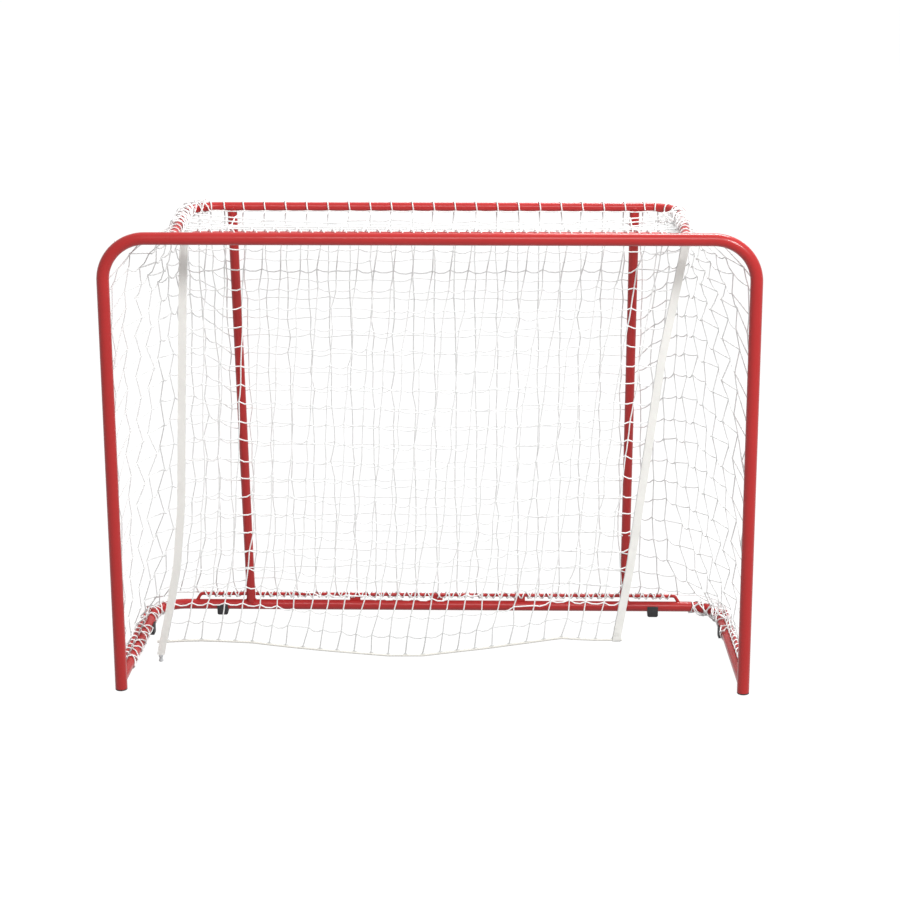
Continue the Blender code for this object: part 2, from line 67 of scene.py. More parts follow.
def colour_setting(name, description, default):
    return FloatVectorProperty(name=name, description=description, default=default, size=3,
                               min=0.0, max=1.0, subtype="COLOR")


class FrameSizes(bpy.types.PropertyGroup):
    mouth_width: length_setting("Mouth width", "Clear width between the posts", 1.400)
    mouth_height: length_setting("Mouth height", "Clear height under the crossbar", 1.050)
    base_depth: length_setting("Base depth", "From the posts back to the floor bar", 0.480)
    base_back_width: length_setting("Base back width", "Between the floor frame's corners", 1.380)
    top_depth: length_setting("Top depth", "From the crossbar back to the roof bar", 0.315)
    top_width: length_setting("Top width", "Between the roof frame's side tubes", 1.120)
    strut_spacing: length_setting("Strut spacing", "Between the slanting struts", 0.920)
    hoop_tube: length_setting("Hoop tube", "Diameter of posts and crossbar", 0.028)
    base_tube: length_setting("Base tube", "Diameter of the floor frame", 0.025)
    top_tube: length_setting("Top tube", "Diameter of the roof frame", 0.020)
    strut_tube: length_setting("Strut tube", "Diameter of the struts", 0.022)
    hoop_bend: length_setting("Hoop bend", "Bend radius of the hoop", 0.095)
    base_bend: length_setting("Base bend", "Bend radius of the floor frame", 0.075)
    top_bend: length_setting("Top bend", "Bend radius of the roof frame", 0.070)
    rail: length_setting("Lacing rod", "Diameter of the lacing rods", 0.008)
    rail_standoff: length_setting("Rod stand-off", "Gap between a tube and its rod", 0.010)
    rail_lean: length_setting("Rod lean", "How far a rod leans outward", 0.007)
    foot_pad: length_setting("Foot pad", "Rubber under the floor frame", 0.0097)


class NetSizes(bpy.types.PropertyGroup):
    cord: length_setting("Net cord", "Diameter of the net's cord", 0.003)
    half_columns: IntProperty(name="Half columns", description="Meshes from a post to the middle",
                              default=21, min=8)
    rows: IntProperty(name="Rows", description="Meshes from the floor to the roof", default=22,
                      min=8)
    across: length_setting("Mesh across", "Cord between two knots of a row", 0.0492)
    upward: length_setting("Mesh upward", "Cord between two knots of a column", 0.0474)
    drop_depth: length_setting("Inner net depth", "From the posts back to the inner net", 0.150)
    drop_columns: IntProperty(name="Inner columns", description="Meshes across the inner net",
                              default=26, min=8)
    drop_rows: IntProperty(name="Inner rows", description="Meshes down the inner net",
                           default=22, min=8)
    header_rope: length_setting("Header rope", "Diameter of the rope at the top", 0.004)
    hem_rope: length_setting("Hem rope", "Diameter of the rope at the hem", 0.006)
    hem_height: length_setting("Hem height", "Height of the inner net's lower corners", 0.057)
    strap_width: length_setting("Strap width", "Width of the webbing", 0.018)
    strap_thickness: length_setting("Strap thickness", "Thickness of the webbing", 0.0015)


class Finishes(bpy.types.PropertyGroup):
    paint: colour_setting("Powder coat", "Red of the tubes", (0.37, 0.0145, 0.0140))
    paint_worn: colour_setting("Rubbed coat", "Powder coat where cords rub", (0.31, 0.016, 0.015))
    cord: colour_setting("Cord", "White of the nets", (0.79, 0.795, 0.79))
    rope: colour_setting("Rope", "Greyish white of the hem rope", (0.66, 0.645, 0.60))
    webbing: colour_setting("Webbing", "Cream of the straps", (0.92, 0.915, 0.875))
    rubber: colour_setting("Rubber", "Black of the feet", (0.018, 0.018, 0.020))
    plastic: colour_setting("Plugs", "Black of the post plugs", (0.016, 0.016, 0.018))
    zinc: colour_setting("Zinc", "Plated screws", (0.60, 0.61, 0.63))
    toggle: colour_setting("Toggle", "Grey of the toggle", (0.40, 0.41, 0.42))
    floor: colour_setting("Floor", "Pale studio floor", (0.34, 0.34, 0.34))


# Fits, in metres
GAP = 0.0003
HOOP_WALL = 0.0015
CAP_FLANGE = 0.003
CAP_PLUG = 0.016
SADDLE_WALL = 0.003
SADDLE_LENGTH = 0.026
SPLICE_R = 0.0023

# Where the rods, feet and screws sit
BACK_ROD_END = 0.584
BACK_TABS = (-0.203, 0, 0.203)
BASE_ROD = (0.060, 0.390)
POST_ROD = (0.070, 0.945)
POST_TABS = (-0.160, 0.160)
BAR_ROD_SPAN = 1.060
BAR_TABS = (-0.3, 0, 0.3)
ROD_TURN_IN = 0.016
ROD_BEND = 0.010
TAB_LENGTH = 0.026
TAB_THICKNESS = 0.003
BACK_SADDLE_X = 0.53
SIDE_SADDLE_DEPTH = 0.340
SCREW_FROM_HOOP = 0.022

# Nets: a knot's size against its cord's radius, how far knots stray, how far the upper edge lies
# above the bars' middle, the roof's meshes, their width at the bar, and cord across and upward
KNOT = 1.75
BUNCH_KNOT = 1.7
KNOT_DRIFT = 0.0022
ROOF_NET_RISE = 0.0085
ROOF_MESHES = (22, 7)
ROOF_PITCH = 0.0484
ROOF_MESH = (0.0487, 0.044)
INNER_MESH = (0.0475, 0.046)

# Lacing: the pitch on every rod, and of the second strand on the back rods
ROD_PITCH = 0.0245
SECOND_PITCH = 0.0172

# Netting bunched round a tube, by side: from and to along the tube, how much further out,
# strands, step, looseness and bulge
FLOOR_SIDE = {-1: [(0.090, 0.322, 0, 2, 0.023, 0.006, 0)],
              1: [(0.290, 0.322, 0, 3, 0.015, 0.004, 0)]}
FLOOR_CORNER = {-1: [(0.362, 0.480, 0, 2, 0.019, 0.006, 0)],
                1: [(0.362, 0.530, 0, 3, 0.0155, 0.004, 0),
                    (0.412, 0.526, 0.004, 2, 0.025, 0.003, 0.010)]}
ROOF_CORNER = [(0.085, 0.335, 0, 3, 0.0135, 0.005, 0.001)]

# Inner net: x and height down each strap and along the hem, the strap's play round its ropes,
# the rows of thread from a rope, and what the header and the hem reach past the net
STRAP_GAP = 0.0002
TACKS = (0.012, 0.018, 0.030)
STRAP_FOLD = 0.034
HEADER_TAIL = 0.032
HEM_TAILS = (0.024, 0.022)
LEFT_HEM_X = -0.635
RIGHT_HEM_X = 0.4286
LEFT_STRAP = [(-0.556, 0.97), (-0.566, 0.75), (-0.580, 0.40), (-0.595, 0.25), (-0.616, 0.14)]
LEFT_TAIL = (-0.641, 0.025)
RIGHT_STRAP = [(0.520, 0.75), (0.489, 0.50), (0.458, 0.25), (RIGHT_HEM_X, 0.070)]
STRAP_TOPS = (-0.549, 0.574)
HEM = [(LEFT_HEM_X, 0.058), (-0.56, 0.063), (-0.43, 0.061), (-0.10, 0.026), (-0.02, 0.025),
       (0.12, 0.043), (0.30, 0.074), (0.36, 0.070), (RIGHT_HEM_X, 0.070)]


def at(x, depth, z):
    """The point that lies depth behind the hoop's plane."""
    return Vector((x, plan.hoop_y + depth, z))


plan = SimpleNamespace(hoop_y=0.0)


def make_plan():
    """Works out the frame's lines from the sizes in the panel."""
    s = bpy.context.scene.goal_frame
    n = bpy.context.scene.goal_nets
    plan.hoop_r, plan.base_r, plan.top_r, plan.strut_r, plan.rail_r = (
        d / 2 for d in (s.hoop_tube, s.base_tube, s.top_tube, s.strut_tube, s.rail))
    plan.cord_r = n.cord / 2
    plan.post_x = (s.mouth_width + s.hoop_tube) / 2
    plan.bar_z = s.mouth_height + plan.hoop_r
    plan.base_z = s.foot_pad + GAP + plan.base_r
    plan.base_back_x = s.base_back_width / 2
    plan.side_x = s.top_width / 2
    plan.strut_x = s.strut_spacing / 2
    plan.header_z = plan.bar_z - plan.top_r - GAP - SPLICE_R
    plan.hoop_y = (plan.hoop_r - (s.base_depth + plan.base_r + GAP + SADDLE_WALL)) / 2
    plan.strut_foot = at(0, s.base_depth, plan.base_z)
    plan.strut_head = at(0, s.top_depth, plan.bar_z)
    plan.up = (plan.strut_head - plan.strut_foot).normalized()
    plan.back = Vector((0, plan.up.z, -plan.up.y))
    lean = plan.strut_r - plan.rail_r
    reach = plan.base_r + s.rail_standoff + plan.rail_r
    plan.back_stand = plan.up * math.sqrt(reach ** 2 - lean ** 2) + plan.back * lean
    plan.side_rise = math.sqrt(reach ** 2 - s.rail_lean ** 2)
    reach = plan.hoop_r + s.rail_standoff + plan.rail_r
    plan.post_rail_depth = math.sqrt(reach ** 2 - s.rail_lean ** 2)
    rise = plan.top_r - plan.rail_r
    plan.bar_stand = Vector((0, math.sqrt(reach ** 2 - rise ** 2), rise))


# Materials

def new_material(name, colour, roughness, **sockets):
    """A material with its plain values set, and its tree to add detail to."""
    mat = bpy.data.materials.new(name)
    mat.use_nodes = True
    shader = mat.node_tree.nodes["Principled BSDF"]
    shader.inputs["Base Color"].default_value = (*colour, 1.0)
    shader.inputs["Roughness"].default_value = roughness
    for socket, value in sockets.items():
        shader.inputs[socket.replace("_", " ")].default_value = value
    return mat, mat.node_tree, shader


def node(tree, kind, **values):
    made = tree.nodes.new(kind)
    for key, value in values.items():
        setattr(made, key, value)
    return made


def feed(tree, socket, value):
    """Links an output to a socket, or sets the socket's value."""
    if isinstance(value, bpy.types.NodeSocket):
        tree.links.new(value, socket)
    else:
        socket.default_value = value


def maths(tree, operation, first, second=0.0, third=0.0):
    made = node(tree, "ShaderNodeMath", operation=operation)
    for socket, value in zip(made.inputs, (first, second, third)):
        feed(tree, socket, value)
    return made.outputs[0]


def place_of(tree, kind="Object"):
    return node(tree, "ShaderNodeTexCoord").outputs[kind]


def parts_of(tree, place):
    """A place's X, Y and Z."""
    made = node(tree, "ShaderNodeSeparateXYZ")
    feed(tree, made.inputs[0], place)
    return made.outputs


def seen_straight(tree):
    """1 where a ray comes from the camera, a gloss or a clear surface, else 0."""
    path = node(tree, "ShaderNodeLightPath")
    seen = maths(tree, "MAXIMUM", path.outputs["Is Camera Ray"], path.outputs["Is Glossy Ray"])
    return maths(tree, "MAXIMUM", seen, path.outputs["Is Transmission Ray"])


def noise(tree, place, scale, detail=2.0, roughness=0.5):
    made = node(tree, "ShaderNodeTexNoise")
    feed(tree, made.inputs["Vector"], place)
    feed(tree, made.inputs["Scale"], scale)
    feed(tree, made.inputs["Detail"], detail)
    feed(tree, made.inputs["Roughness"], roughness)
    return made.outputs["Fac"]


def ramp(tree, value, low, high, out_low=0.0, out_high=1.0):
    made = node(tree, "ShaderNodeMapRange", interpolation_type="SMOOTHSTEP")
    for socket, setting in zip(made.inputs, (value, low, high, out_low, out_high)):
        feed(tree, socket, setting)
    return made.outputs[0]


def blend_colours(tree, share, first, second):
    made = node(tree, "ShaderNodeMix", data_type="RGBA")
    feed(tree, made.inputs[0], share)
    for socket, value in zip(made.inputs[6:8], (first, second)):
        feed(tree, socket, value if isinstance(value, bpy.types.NodeSocket) else (*value, 1.0))
    return made.outputs[2]


def bump(tree, shader, height, distance, strength=1.0):
    made = node(tree, "ShaderNodeBump")
    feed(tree, made.inputs["Height"], height)
    feed(tree, made.inputs["Distance"], distance)
    feed(tree, made.inputs["Strength"], strength)
    tree.links.new(made.outputs[0], shader.inputs["Normal"])


def darker(colour, share):
    return tuple(c * share for c in colour)


def powder_coat(c):
    """Glossy red powder coat with its fine orange peel, dust and rubbed patches."""
    mat, tree, shader = new_material("red_powder_coat", c.paint, 0.3, Coat_Weight=0.20,
                                     Coat_Roughness=0.06, Specular_IOR_Level=0.25)
    place = place_of(tree)
    cloud = noise(tree, place, 9.0, 4.0, 0.6)
    speck = noise(tree, place, 420.0, 2.0)
    rub = ramp(tree, noise(tree, place, 38.0, 6.0, 0.72), 0.62, 0.78)
    tone = blend_colours(tree, ramp(tree, cloud, 0.3, 0.75), c.paint, darker(c.paint, 0.93))
    tone = blend_colours(tree, maths(tree, "MULTIPLY", rub, 0.5), tone, c.paint_worn)
    feed(tree, shader.inputs["Base Color"], tone)
    rough = maths(tree, "MULTIPLY_ADD", cloud, 0.10, 0.26)
    rough = maths(tree, "MULTIPLY_ADD", rub, 0.16, rough)
    feed(tree, shader.inputs["Roughness"], rough)
    peel = maths(tree, "MULTIPLY_ADD", noise(tree, place, 260.0, 1.0), 0.8,
                 maths(tree, "MULTIPLY", speck, 0.2))
    bump(tree, shader, peel, 0.00012, 0.5)
    return mat


def twist(tree, turns, pitch):
    """Height of crossing strands round a cord, from UVs in metres along and turns round."""
    length, turn, _ = parts_of(tree, place_of(tree, "UV"))
    along = maths(tree, "MULTIPLY", length, 2 * math.pi / pitch)
    around = maths(tree, "MULTIPLY", turn, 2 * math.pi * turns)
    return maths(tree, "MAXIMUM", *(maths(tree, "SINE", maths(tree, crossing, along, around))
                                    for crossing in ("ADD", "SUBTRACT")))


def braided_cord(name, colour, pitch=0.004, turns=3, floor_shade=0.0):
    """Braided polyester cord: crossing strands, fuzz and soil, with painted shade in its hollows
    and, if asked, painted shade towards the floor.
    """
    mat, tree, shader = new_material(name, colour, 0.78, Sheen_Weight=0.25, Sheen_Roughness=0.5,
                                     Specular_IOR_Level=0.3)
    strands = twist(tree, turns, pitch)
    place = place_of(tree)
    fuzz = noise(tree, place, 1400.0, 2.0)
    soil = ramp(tree, noise(tree, place, 16.0, 4.0, 0.6), 0.45, 0.8)
    # Painted shade: the hollows between the strands are coloured darker.
    painted_hollow_shade = ramp(tree, strands, 0.5, -0.6)
    # Painted shade in the hollows, plus soil in random patches, darken the cord.
    hollow_shade_and_soil = maths(tree, "MULTIPLY_ADD", painted_hollow_shade, 0.55, maths(tree, "MULTIPLY", soil, 0.2))
    tone = blend_colours(tree, hollow_shade_and_soil, colour, darker(colour, 0.84))
    if floor_shade:
        # Painted shade: the cords are coloured darker towards the floor.
        tint = ramp(tree, parts_of(tree, place)[2], 0.16, 0.03, 0.0, floor_shade)
        tone = blend_colours(tree, tint, tone, darker(colour, 0.45))
    feed(tree, shader.inputs["Base Color"], tone)
    feed(tree, shader.inputs["Roughness"], maths(tree, "MULTIPLY_ADD", fuzz, 0.2, 0.68))
    bump(tree, shader, maths(tree, "MULTIPLY_ADD", fuzz, 0.3, strands), 0.0002, 0.8)
    return mat


def webbing(c):
    """Flat woven webbing: chevrons of warp and weft, with painted shade in the weave's hollows."""
    mat, tree, shader = new_material("cream_webbing_weave", c.webbing, 0.82, Sheen_Weight=0.3,
                                     Sheen_Roughness=0.5, Specular_IOR_Level=0.25)
    across, along, _ = parts_of(tree, place_of(tree, "UV"))
    fold = maths(tree, "PINGPONG", across, 0.003)
    warp = maths(tree, "SINE", maths(tree, "MULTIPLY", across, 2 * math.pi / 0.0012))
    slant = maths(tree, "MULTIPLY_ADD", fold, 1.6, along)
    weft = maths(tree, "SINE", maths(tree, "MULTIPLY", slant, 2 * math.pi / 0.0016))
    weave = maths(tree, "MULTIPLY_ADD", warp, 0.45, weft)
    place = place_of(tree)
    soil = ramp(tree, noise(tree, place, 22.0, 5.0, 0.65), 0.42, 0.75)
    # Painted shade: the weave's hollows are coloured darker, and soil darkens random patches.
    painted_hollow_shade = ramp(tree, weave, 0.2, -1.2)
    hollow_shade_and_soil = maths(tree, "MULTIPLY_ADD", painted_hollow_shade, 0.5, maths(tree, "MULTIPLY", soil, 0.25))
    feed(tree, shader.inputs["Base Color"],
         blend_colours(tree, hollow_shade_and_soil, c.webbing, darker(c.webbing, 0.88)))
    fuzz = noise(tree, place, 1500.0, 2.0)
    bump(tree, shader, maths(tree, "MULTIPLY_ADD", fuzz, 0.4, weave), 0.00022, 0.9)
    return mat


def moulded(name, colour, roughness, grain, depth):
    """Moulded rubber or plastic with its grain, scuffs and dust."""
    mat, tree, shader = new_material(name, colour, roughness, Specular_IOR_Level=0.4)
    place = place_of(tree)
    tint = ramp(tree, noise(tree, place, 60.0, 5.0, 0.7), 0.5, 0.8)
    pale = tuple(c + 0.05 for c in colour)
    feed(tree, shader.inputs["Base Color"],
         blend_colours(tree, maths(tree, "MULTIPLY", tint, 0.5), colour, pale))
    feed(tree, shader.inputs["Roughness"], maths(tree, "MULTIPLY_ADD", tint, 0.2, roughness))
    bump(tree, shader, noise(tree, place, grain, 3.0, 0.6), depth, 0.6)
    return mat


def plated(c):
    """Zinc-plated steel with faint turning marks and a dull bloom."""
    mat, tree, shader = new_material("zinc_plate", c.zinc, 0.3, Metallic=1.0)
    place = place_of(tree)
    bloom = noise(tree, place, 300.0, 4.0, 0.6)
    feed(tree, shader.inputs["Base Color"],
         blend_colours(tree, ramp(tree, bloom, 0.4, 0.7), c.zinc, darker(c.zinc, 0.82)))
    feed(tree, shader.inputs["Roughness"], maths(tree, "MULTIPLY_ADD", bloom, 0.25, 0.2))
    bump(tree, shader, noise(tree, place, 2400.0, 2.0), 0.00004, 0.5)
    return mat


finish = {}


def make_finishes():
    c = bpy.context.scene.goal_finishes
    finish["red_paint"] = powder_coat(c)
    finish["white_cord"] = braided_cord("white_braided_cord", tuple(c.cord))
    # The inner net's cords get painted shade near the floor.
    finish["inner_cord"] = braided_cord("inner_net_cord", tuple(c.cord), floor_shade=0.55)
    finish["hem_rope"] = braided_cord("greyish_rope", tuple(c.rope), 0.007, 2)
    finish["cream_webbing"] = webbing(c)
    finish["black_rubber"] = moulded("black_rubber_grain", tuple(c.rubber), 0.62, 900.0, 0.0001)
    finish["black_plastic"] = moulded("black_plug_plastic", tuple(c.plastic), 0.42, 1600.0, 0.00005)
    finish["grey_plastic"] = moulded("grey_toggle_plastic", tuple(c.toggle), 0.45, 1300.0, 0.00005)
    finish["zinc_steel"] = plated(c)


# Shapes

def new_mesh(name, bm):
    """Turns a bmesh into a mesh and frees it."""
    mesh = bpy.data.meshes.new(name)
    bm.to_mesh(mesh)
    bm.free()
    return mesh


def new_object(name, data):
    """An object with the data, in the scene."""
    made = bpy.data.objects.new(name, data)
    bpy.context.scene.collection.objects.link(made)
    return made


def finish_piece(name, bm, slot, body=FRAME_BODY, replaces=(), coat=None, sharp=40):
    """Turns a bmesh into a piece that rides on its body."""
    mesh = new_mesh(name, bm)
    mesh.shade_smooth()
    mesh.set_sharp_from_angle(angle=math.radians(sharp))
    mesh.materials.append(finish[coat or slot])
    piece = new_object(name, mesh)
    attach(piece, body)
    if replaces:
        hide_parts(*replaces)
    return piece


def facing(direction, origin):
    """A placing at the origin whose Z looks along the direction."""
    turn = Vector(direction).to_track_quat("Z", "Y").to_matrix().to_4x4()
    return Matrix.Translation(origin) @ turn


def placed(x_dir, y_dir, z_dir, spot):
    """A placing at the spot with its three directions."""
    place = Matrix((x_dir, y_dir, z_dir)).transposed().to_4x4()
    place.translation = spot
    return place


def new_verts(made):
    return [g for g in made if isinstance(g, bmesh.types.BMVert)]


def new_edges(made):
    return [g for g in made if isinstance(g, bmesh.types.BMEdge)]


def pull(bm, edges, shift):
    """Extrudes a ring of edges by a vector and returns the new ring."""
    made = bmesh.ops.extrude_edge_only(bm, edges=edges)["geom"]
    bmesh.ops.translate(bm, verts=new_verts(made), vec=shift)
    return new_edges(made)


def ring_verts(edges):
    return list({v for e in edges for v in e.verts})


def tube(bm, points, radius, sides, bend_radius=0.0, bend_steps=20):
    """A round tube along straight runs with bends between them. Returns its two end rings."""
    place = points[0]
    first = bmesh.ops.create_circle(bm, segments=sides, radius=radius,
                                    matrix=facing(points[1] - points[0], place))["verts"]
    edges = list({e for v in first for e in v.link_edges})
    start = list(edges)
    for before, corner, after in zip(points, points[1:], points[2:]):
        back = (before - corner).normalized()
        ahead = (after - corner).normalized()
        half = back.angle(ahead) / 2
        reach = bend_radius / math.tan(half)
        near = corner + back * reach
        if (near - place).length > 1e-6:
            edges = pull(bm, edges, near - place)
        centre = corner + (back + ahead).normalized() * (bend_radius / math.sin(half))
        turned = bmesh.ops.spin(bm, geom=edges, cent=centre, axis=ahead.cross(back).normalized(),
                                angle=math.pi - 2 * half, steps=bend_steps, use_merge=False)
        edges = new_edges(turned["geom_last"])
        place = corner + ahead * reach
    edges = pull(bm, edges, points[-1] - place)
    return ring_verts(start), ring_verts(edges)


def cope(verts, run, on_axis, axis, reach):
    """Slides a ring along the run until it lies on another round bar."""
    flat_run = run - axis * run.dot(axis)
    for vert in verts:
        rel = vert.co - on_axis
        rel -= axis * rel.dot(axis)
        a, b, c = flat_run.dot(flat_run), 2 * rel.dot(flat_run), rel.dot(rel) - reach ** 2
        vert.co += run * ((math.sqrt(max(b * b - 4 * a * c, 0.0)) - b) / (2 * a))


def close_up(bm):
    """Fills open ends and turns every face outward."""
    open_edges = [e for e in bm.edges if e.is_boundary]
    bmesh.ops.holes_fill(bm, edges=open_edges, sides=0)
    bmesh.ops.recalc_face_normals(bm, faces=bm.faces)


def cords(lines, radius, sides=6, closed=False):
    """A bmesh of round cords along the lines. UVs: metres along the cord, turns round it."""
    curve = bpy.data.curves.new("cords", "CURVE")
    curve.dimensions = "3D"
    curve.bevel_depth = radius
    curve.bevel_resolution = sides // 2 - 2
    loops = []
    for line in lines:
        line = np.asarray([tuple(p) for p in line], float)
        spline = curve.splines.new("POLY")
        spline.points.add(len(line) - 1)
        spline.use_cyclic_u = closed
        flat = np.ones((len(line), 4))
        flat[:, :3] = line
        spline.points.foreach_set("co", flat.ravel())
        spans = len(line) if closed else len(line) - 1
        length = np.linalg.norm(np.diff(line, axis=0), axis=1).sum()
        loops.append((4 * sides * spans, length))
    guide = new_object("cords", curve)
    depsgraph = bpy.context.evaluated_depsgraph_get()
    mesh = bpy.data.meshes.new_from_object(guide.evaluated_get(depsgraph))
    bpy.data.objects.remove(guide, do_unlink=True)
    bpy.data.curves.remove(curve)
    if mesh.uv_layers:
        uv = np.empty(len(mesh.loops) * 2)
        mesh.uv_layers[0].data.foreach_get("uv", uv)
        uv = uv.reshape(-1, 2)
        start = 0
        for count, length in loops:
            uv[start:start + count, 0] *= length
            start += count
        mesh.uv_layers[0].data.foreach_set("uv", uv.ravel())
    bm = bmesh.new()
    bm.from_mesh(mesh)
    bpy.data.meshes.remove(mesh)
    close_up(bm)
    return bm


def knotted(lines, knots, sides=6, size=KNOT):
    """Net cord along the lines, with its knots."""
    bm = cords(lines, plan.cord_r, sides)
    for knot in knots:
        bmesh.ops.create_icosphere(bm, subdivisions=1, radius=plan.cord_r * size,
                                   matrix=Matrix.Translation(knot))
    return bm


def join(bm, added):
    """Moves all of one bmesh into another."""
    mesh = new_mesh("joined", added)
    bm.from_mesh(mesh)
    bpy.data.meshes.remove(mesh)


def turned(profile, steps):
    """The open skin of a profile (radius, height) spun about Z."""
    bm = bmesh.new()
    verts = [bm.verts.new((r, 0, z)) for r, z in profile]
    edges = [bm.edges.new(pair) for pair in zip(verts, verts[1:])]
    bmesh.ops.spin(bm, geom=verts + edges, cent=(0, 0, 0), axis=(0, 0, 1), angle=2 * math.pi,
                   steps=steps, use_merge=True)
    bmesh.ops.remove_doubles(bm, verts=bm.verts, dist=1e-6)
    return bm


def spun(profile, spot, steps=48):
    """A closed turned piece, stood at the spot."""
    bm = turned(profile, steps)
    bmesh.ops.translate(bm, verts=bm.verts, vec=spot)
    close_up(bm)
    return bm


def rounded_corner(centre, radius, start, end, steps=5):
    """Profile points of a quarter turn round an edge, from angle to angle in degrees."""
    angles = [math.radians(start + (end - start) * i / steps) for i in range(steps + 1)]
    return [(centre[0] + radius * math.cos(a), centre[1] + radius * math.sin(a)) for a in angles]


def side_name(stem, sign):
    return stem + ("_left" if sign < 0 else "_right")


def weld_bead(name, ring, axis):
    """A rippled bead of weld along the ring where a tube lies on another."""
    spots = [v.co.copy() for v in ring]
    centre = sum(spots, Vector()) / len(spots)
    side = axis.orthogonal().normalized()
    other = axis.cross(side)
    spots.sort(key=lambda p: math.atan2((p - centre).dot(other), (p - centre).dot(side)))
    low, high, bead_r = 0.0003, 0.0009, 0.0017
    line = [p + (p - centre).normalized() * (low if k % 2 else high)
            for k, p in enumerate(spots)]
    finish_piece(name, cords([line], bead_r, 10, closed=True), "red_paint", sharp=70)


# Frame

class GOAL_OT_finishes(bpy.types.Operator):
    """Make the paint, cord, webbing, rubber and metal"""
    bl_idname = "goal.finishes"
    bl_label = "Finishes"

    def execute(self, context):
        make_plan()
        make_finishes()
        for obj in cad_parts.values():
            slot = obj.material_slots[0].name.split(".")[0] if obj.material_slots else ""
            obj.data.materials.clear()
            obj.data.materials.append(finish.get(slot, finish["red_paint"]))
        return {"FINISHED"}


class GOAL_OT_tubes(bpy.types.Operator):
    """Bend the hoop, the floor frame and the roof frame, and cope the struts"""
    bl_idname = "goal.tubes"
    bl_label = "Tubes"

    def execute(self, context):
        s = context.scene.goal_frame
        foot = CAP_FLANGE + GAP
        bm = bmesh.new()
        tube(bm, [at(-plan.post_x, 0, foot), at(-plan.post_x, 0, plan.bar_z),
                  at(plan.post_x, 0, plan.bar_z), at(plan.post_x, 0, foot)],
             plan.hoop_r, 48, s.hoop_bend, 28)
        close_up(bm)
        finish_piece("hoop_tube", bm, "red_paint", replaces=["front_hoop"])

        for name, replaced, front_x, back_x, depth, z, radius, bend_radius, axis in (
                ("floor_tube", "base_frame", plan.post_x, plan.base_back_x, s.base_depth,
                 plan.base_z, plan.base_r, s.base_bend, Z_AXIS),
                ("roof_tube", "top_frame", plan.side_x, plan.side_x, s.top_depth,
                 plan.bar_z, plan.top_r, s.top_bend, X_AXIS)):
            bm = bmesh.new()
            points = [at(-front_x, 0, z), at(-back_x, depth, z), at(back_x, depth, z),
                      at(front_x, 0, z)]
            ends = tube(bm, points, radius, 40, bend_radius, 24)
            for ring, end, inner in zip(ends, (points[0], points[3]), (points[1], points[2])):
                cope(ring, (inner - end).normalized(), end, axis, plan.hoop_r + GAP)
            close_up(bm)
            finish_piece(name, bm, "red_paint", replaces=[replaced])

        for sign in (-1, 1):
            shift = X_AXIS * sign * plan.strut_x
            bm = bmesh.new()
            foot, head = plan.strut_foot + shift, plan.strut_head + shift
            low, high = tube(bm, [foot, head], plan.strut_r, 40)
            cope(low, plan.up, foot, X_AXIS, plan.base_r + GAP)
            cope(high, -plan.up, head, X_AXIS, plan.top_r + GAP)
            weld_bead(side_name("strut_foot_weld", sign), low, plan.up)
            weld_bead(side_name("strut_head_weld", sign), high, plan.up)
            close_up(bm)
            finish_piece(side_name("strut_tube", sign), bm, "red_paint",
                         replaces=[side_name("strut", sign)])
        return {"FINISHED"}


def tab_plate(bm, spot, run, stand):
    """A flat plate between a rod and its tube, with rounded edges."""
    made = bmesh.ops.create_cube(bm, size=1.0)["verts"]
    bmesh.ops.scale(bm, vec=(TAB_LENGTH, TAB_THICKNESS, stand.length), verts=made)
    edges = list({e for v in made for e in v.link_edges})
    made = bmesh.ops.bevel(bm, geom=edges, offset=0.0007, segments=2, affect="EDGES",
                           profile=0.5, material=-1)["verts"]
    x_dir = run.normalized()
    z_dir = -stand.normalized()
    place = placed(x_dir, z_dir.cross(x_dir), z_dir, spot - stand / 2)
    bmesh.ops.transform(bm, matrix=place, verts=made)


def rod(name, points, tabs, stand):
    bm = bmesh.new()
    tube(bm, points, plan.rail_r, 20, ROD_BEND, 6)
    close_up(bm)
    for spot, run in tabs:
        tab_plate(bm, spot, run, stand)
    finish_piece(name + "_rod", bm, "red_paint", replaces=[name])


def turned_down(start, end, stand, both=True):
    """A rod's points with its ends turned onto the tube."""
    run = (end - start).normalized() * ROD_TURN_IN
    points = [start, end, end - stand + run]
    if both:
        points.insert(0, start - stand - run)
    return points


def base_side(sign):
    start = at(sign * plan.post_x, 0, plan.base_z)
    end = at(sign * plan.base_back_x, bpy.context.scene.goal_frame.base_depth, plan.base_z)
    return start, (end - start).normalized()


def rail_lines():
    """Every lacing rod: its straight run, how it stands off its tube, and its tabs."""
    s = bpy.context.scene.goal_frame
    lines = {}
    stand = plan.back_stand
    inner = plan.strut_x - plan.strut_r - GAP
    outer = plan.strut_x + plan.strut_r + GAP
    row = plan.strut_foot + stand
    lines["rail_back_centre"] = row - X_AXIS * inner, row + X_AXIS * inner, stand, BACK_TABS
    for sign in (-1, 1):
        near, far = (row + X_AXIS * sign * x for x in (outer, BACK_ROD_END))
        lines[side_name("rail_back", sign)] = near, far, stand, ()
        start, run = base_side(sign)
        outward = run.cross(Z_AXIS) * sign
        stand_side = outward * s.rail_lean + Z_AXIS * plan.side_rise
        near, far = (start + run * (depth / run.y) + stand_side for depth in BASE_ROD)
        lines[side_name("rail_base", sign)] = near, far, stand_side, (0,)
        stand_post = Vector((sign * s.rail_lean, plan.post_rail_depth, 0))
        low, high = (at(sign * plan.post_x, 0, z) + stand_post for z in POST_ROD)
        lines[side_name("rail_post", sign)] = low, high, stand_post, POST_TABS
    middle = at(0, 0, plan.bar_z) + plan.bar_stand
    reach = X_AXIS * (BAR_ROD_SPAN / 2 - ROD_TURN_IN)
    lines["rail_crossbar"] = middle - reach, middle + reach, plan.bar_stand, BAR_TABS
    return lines


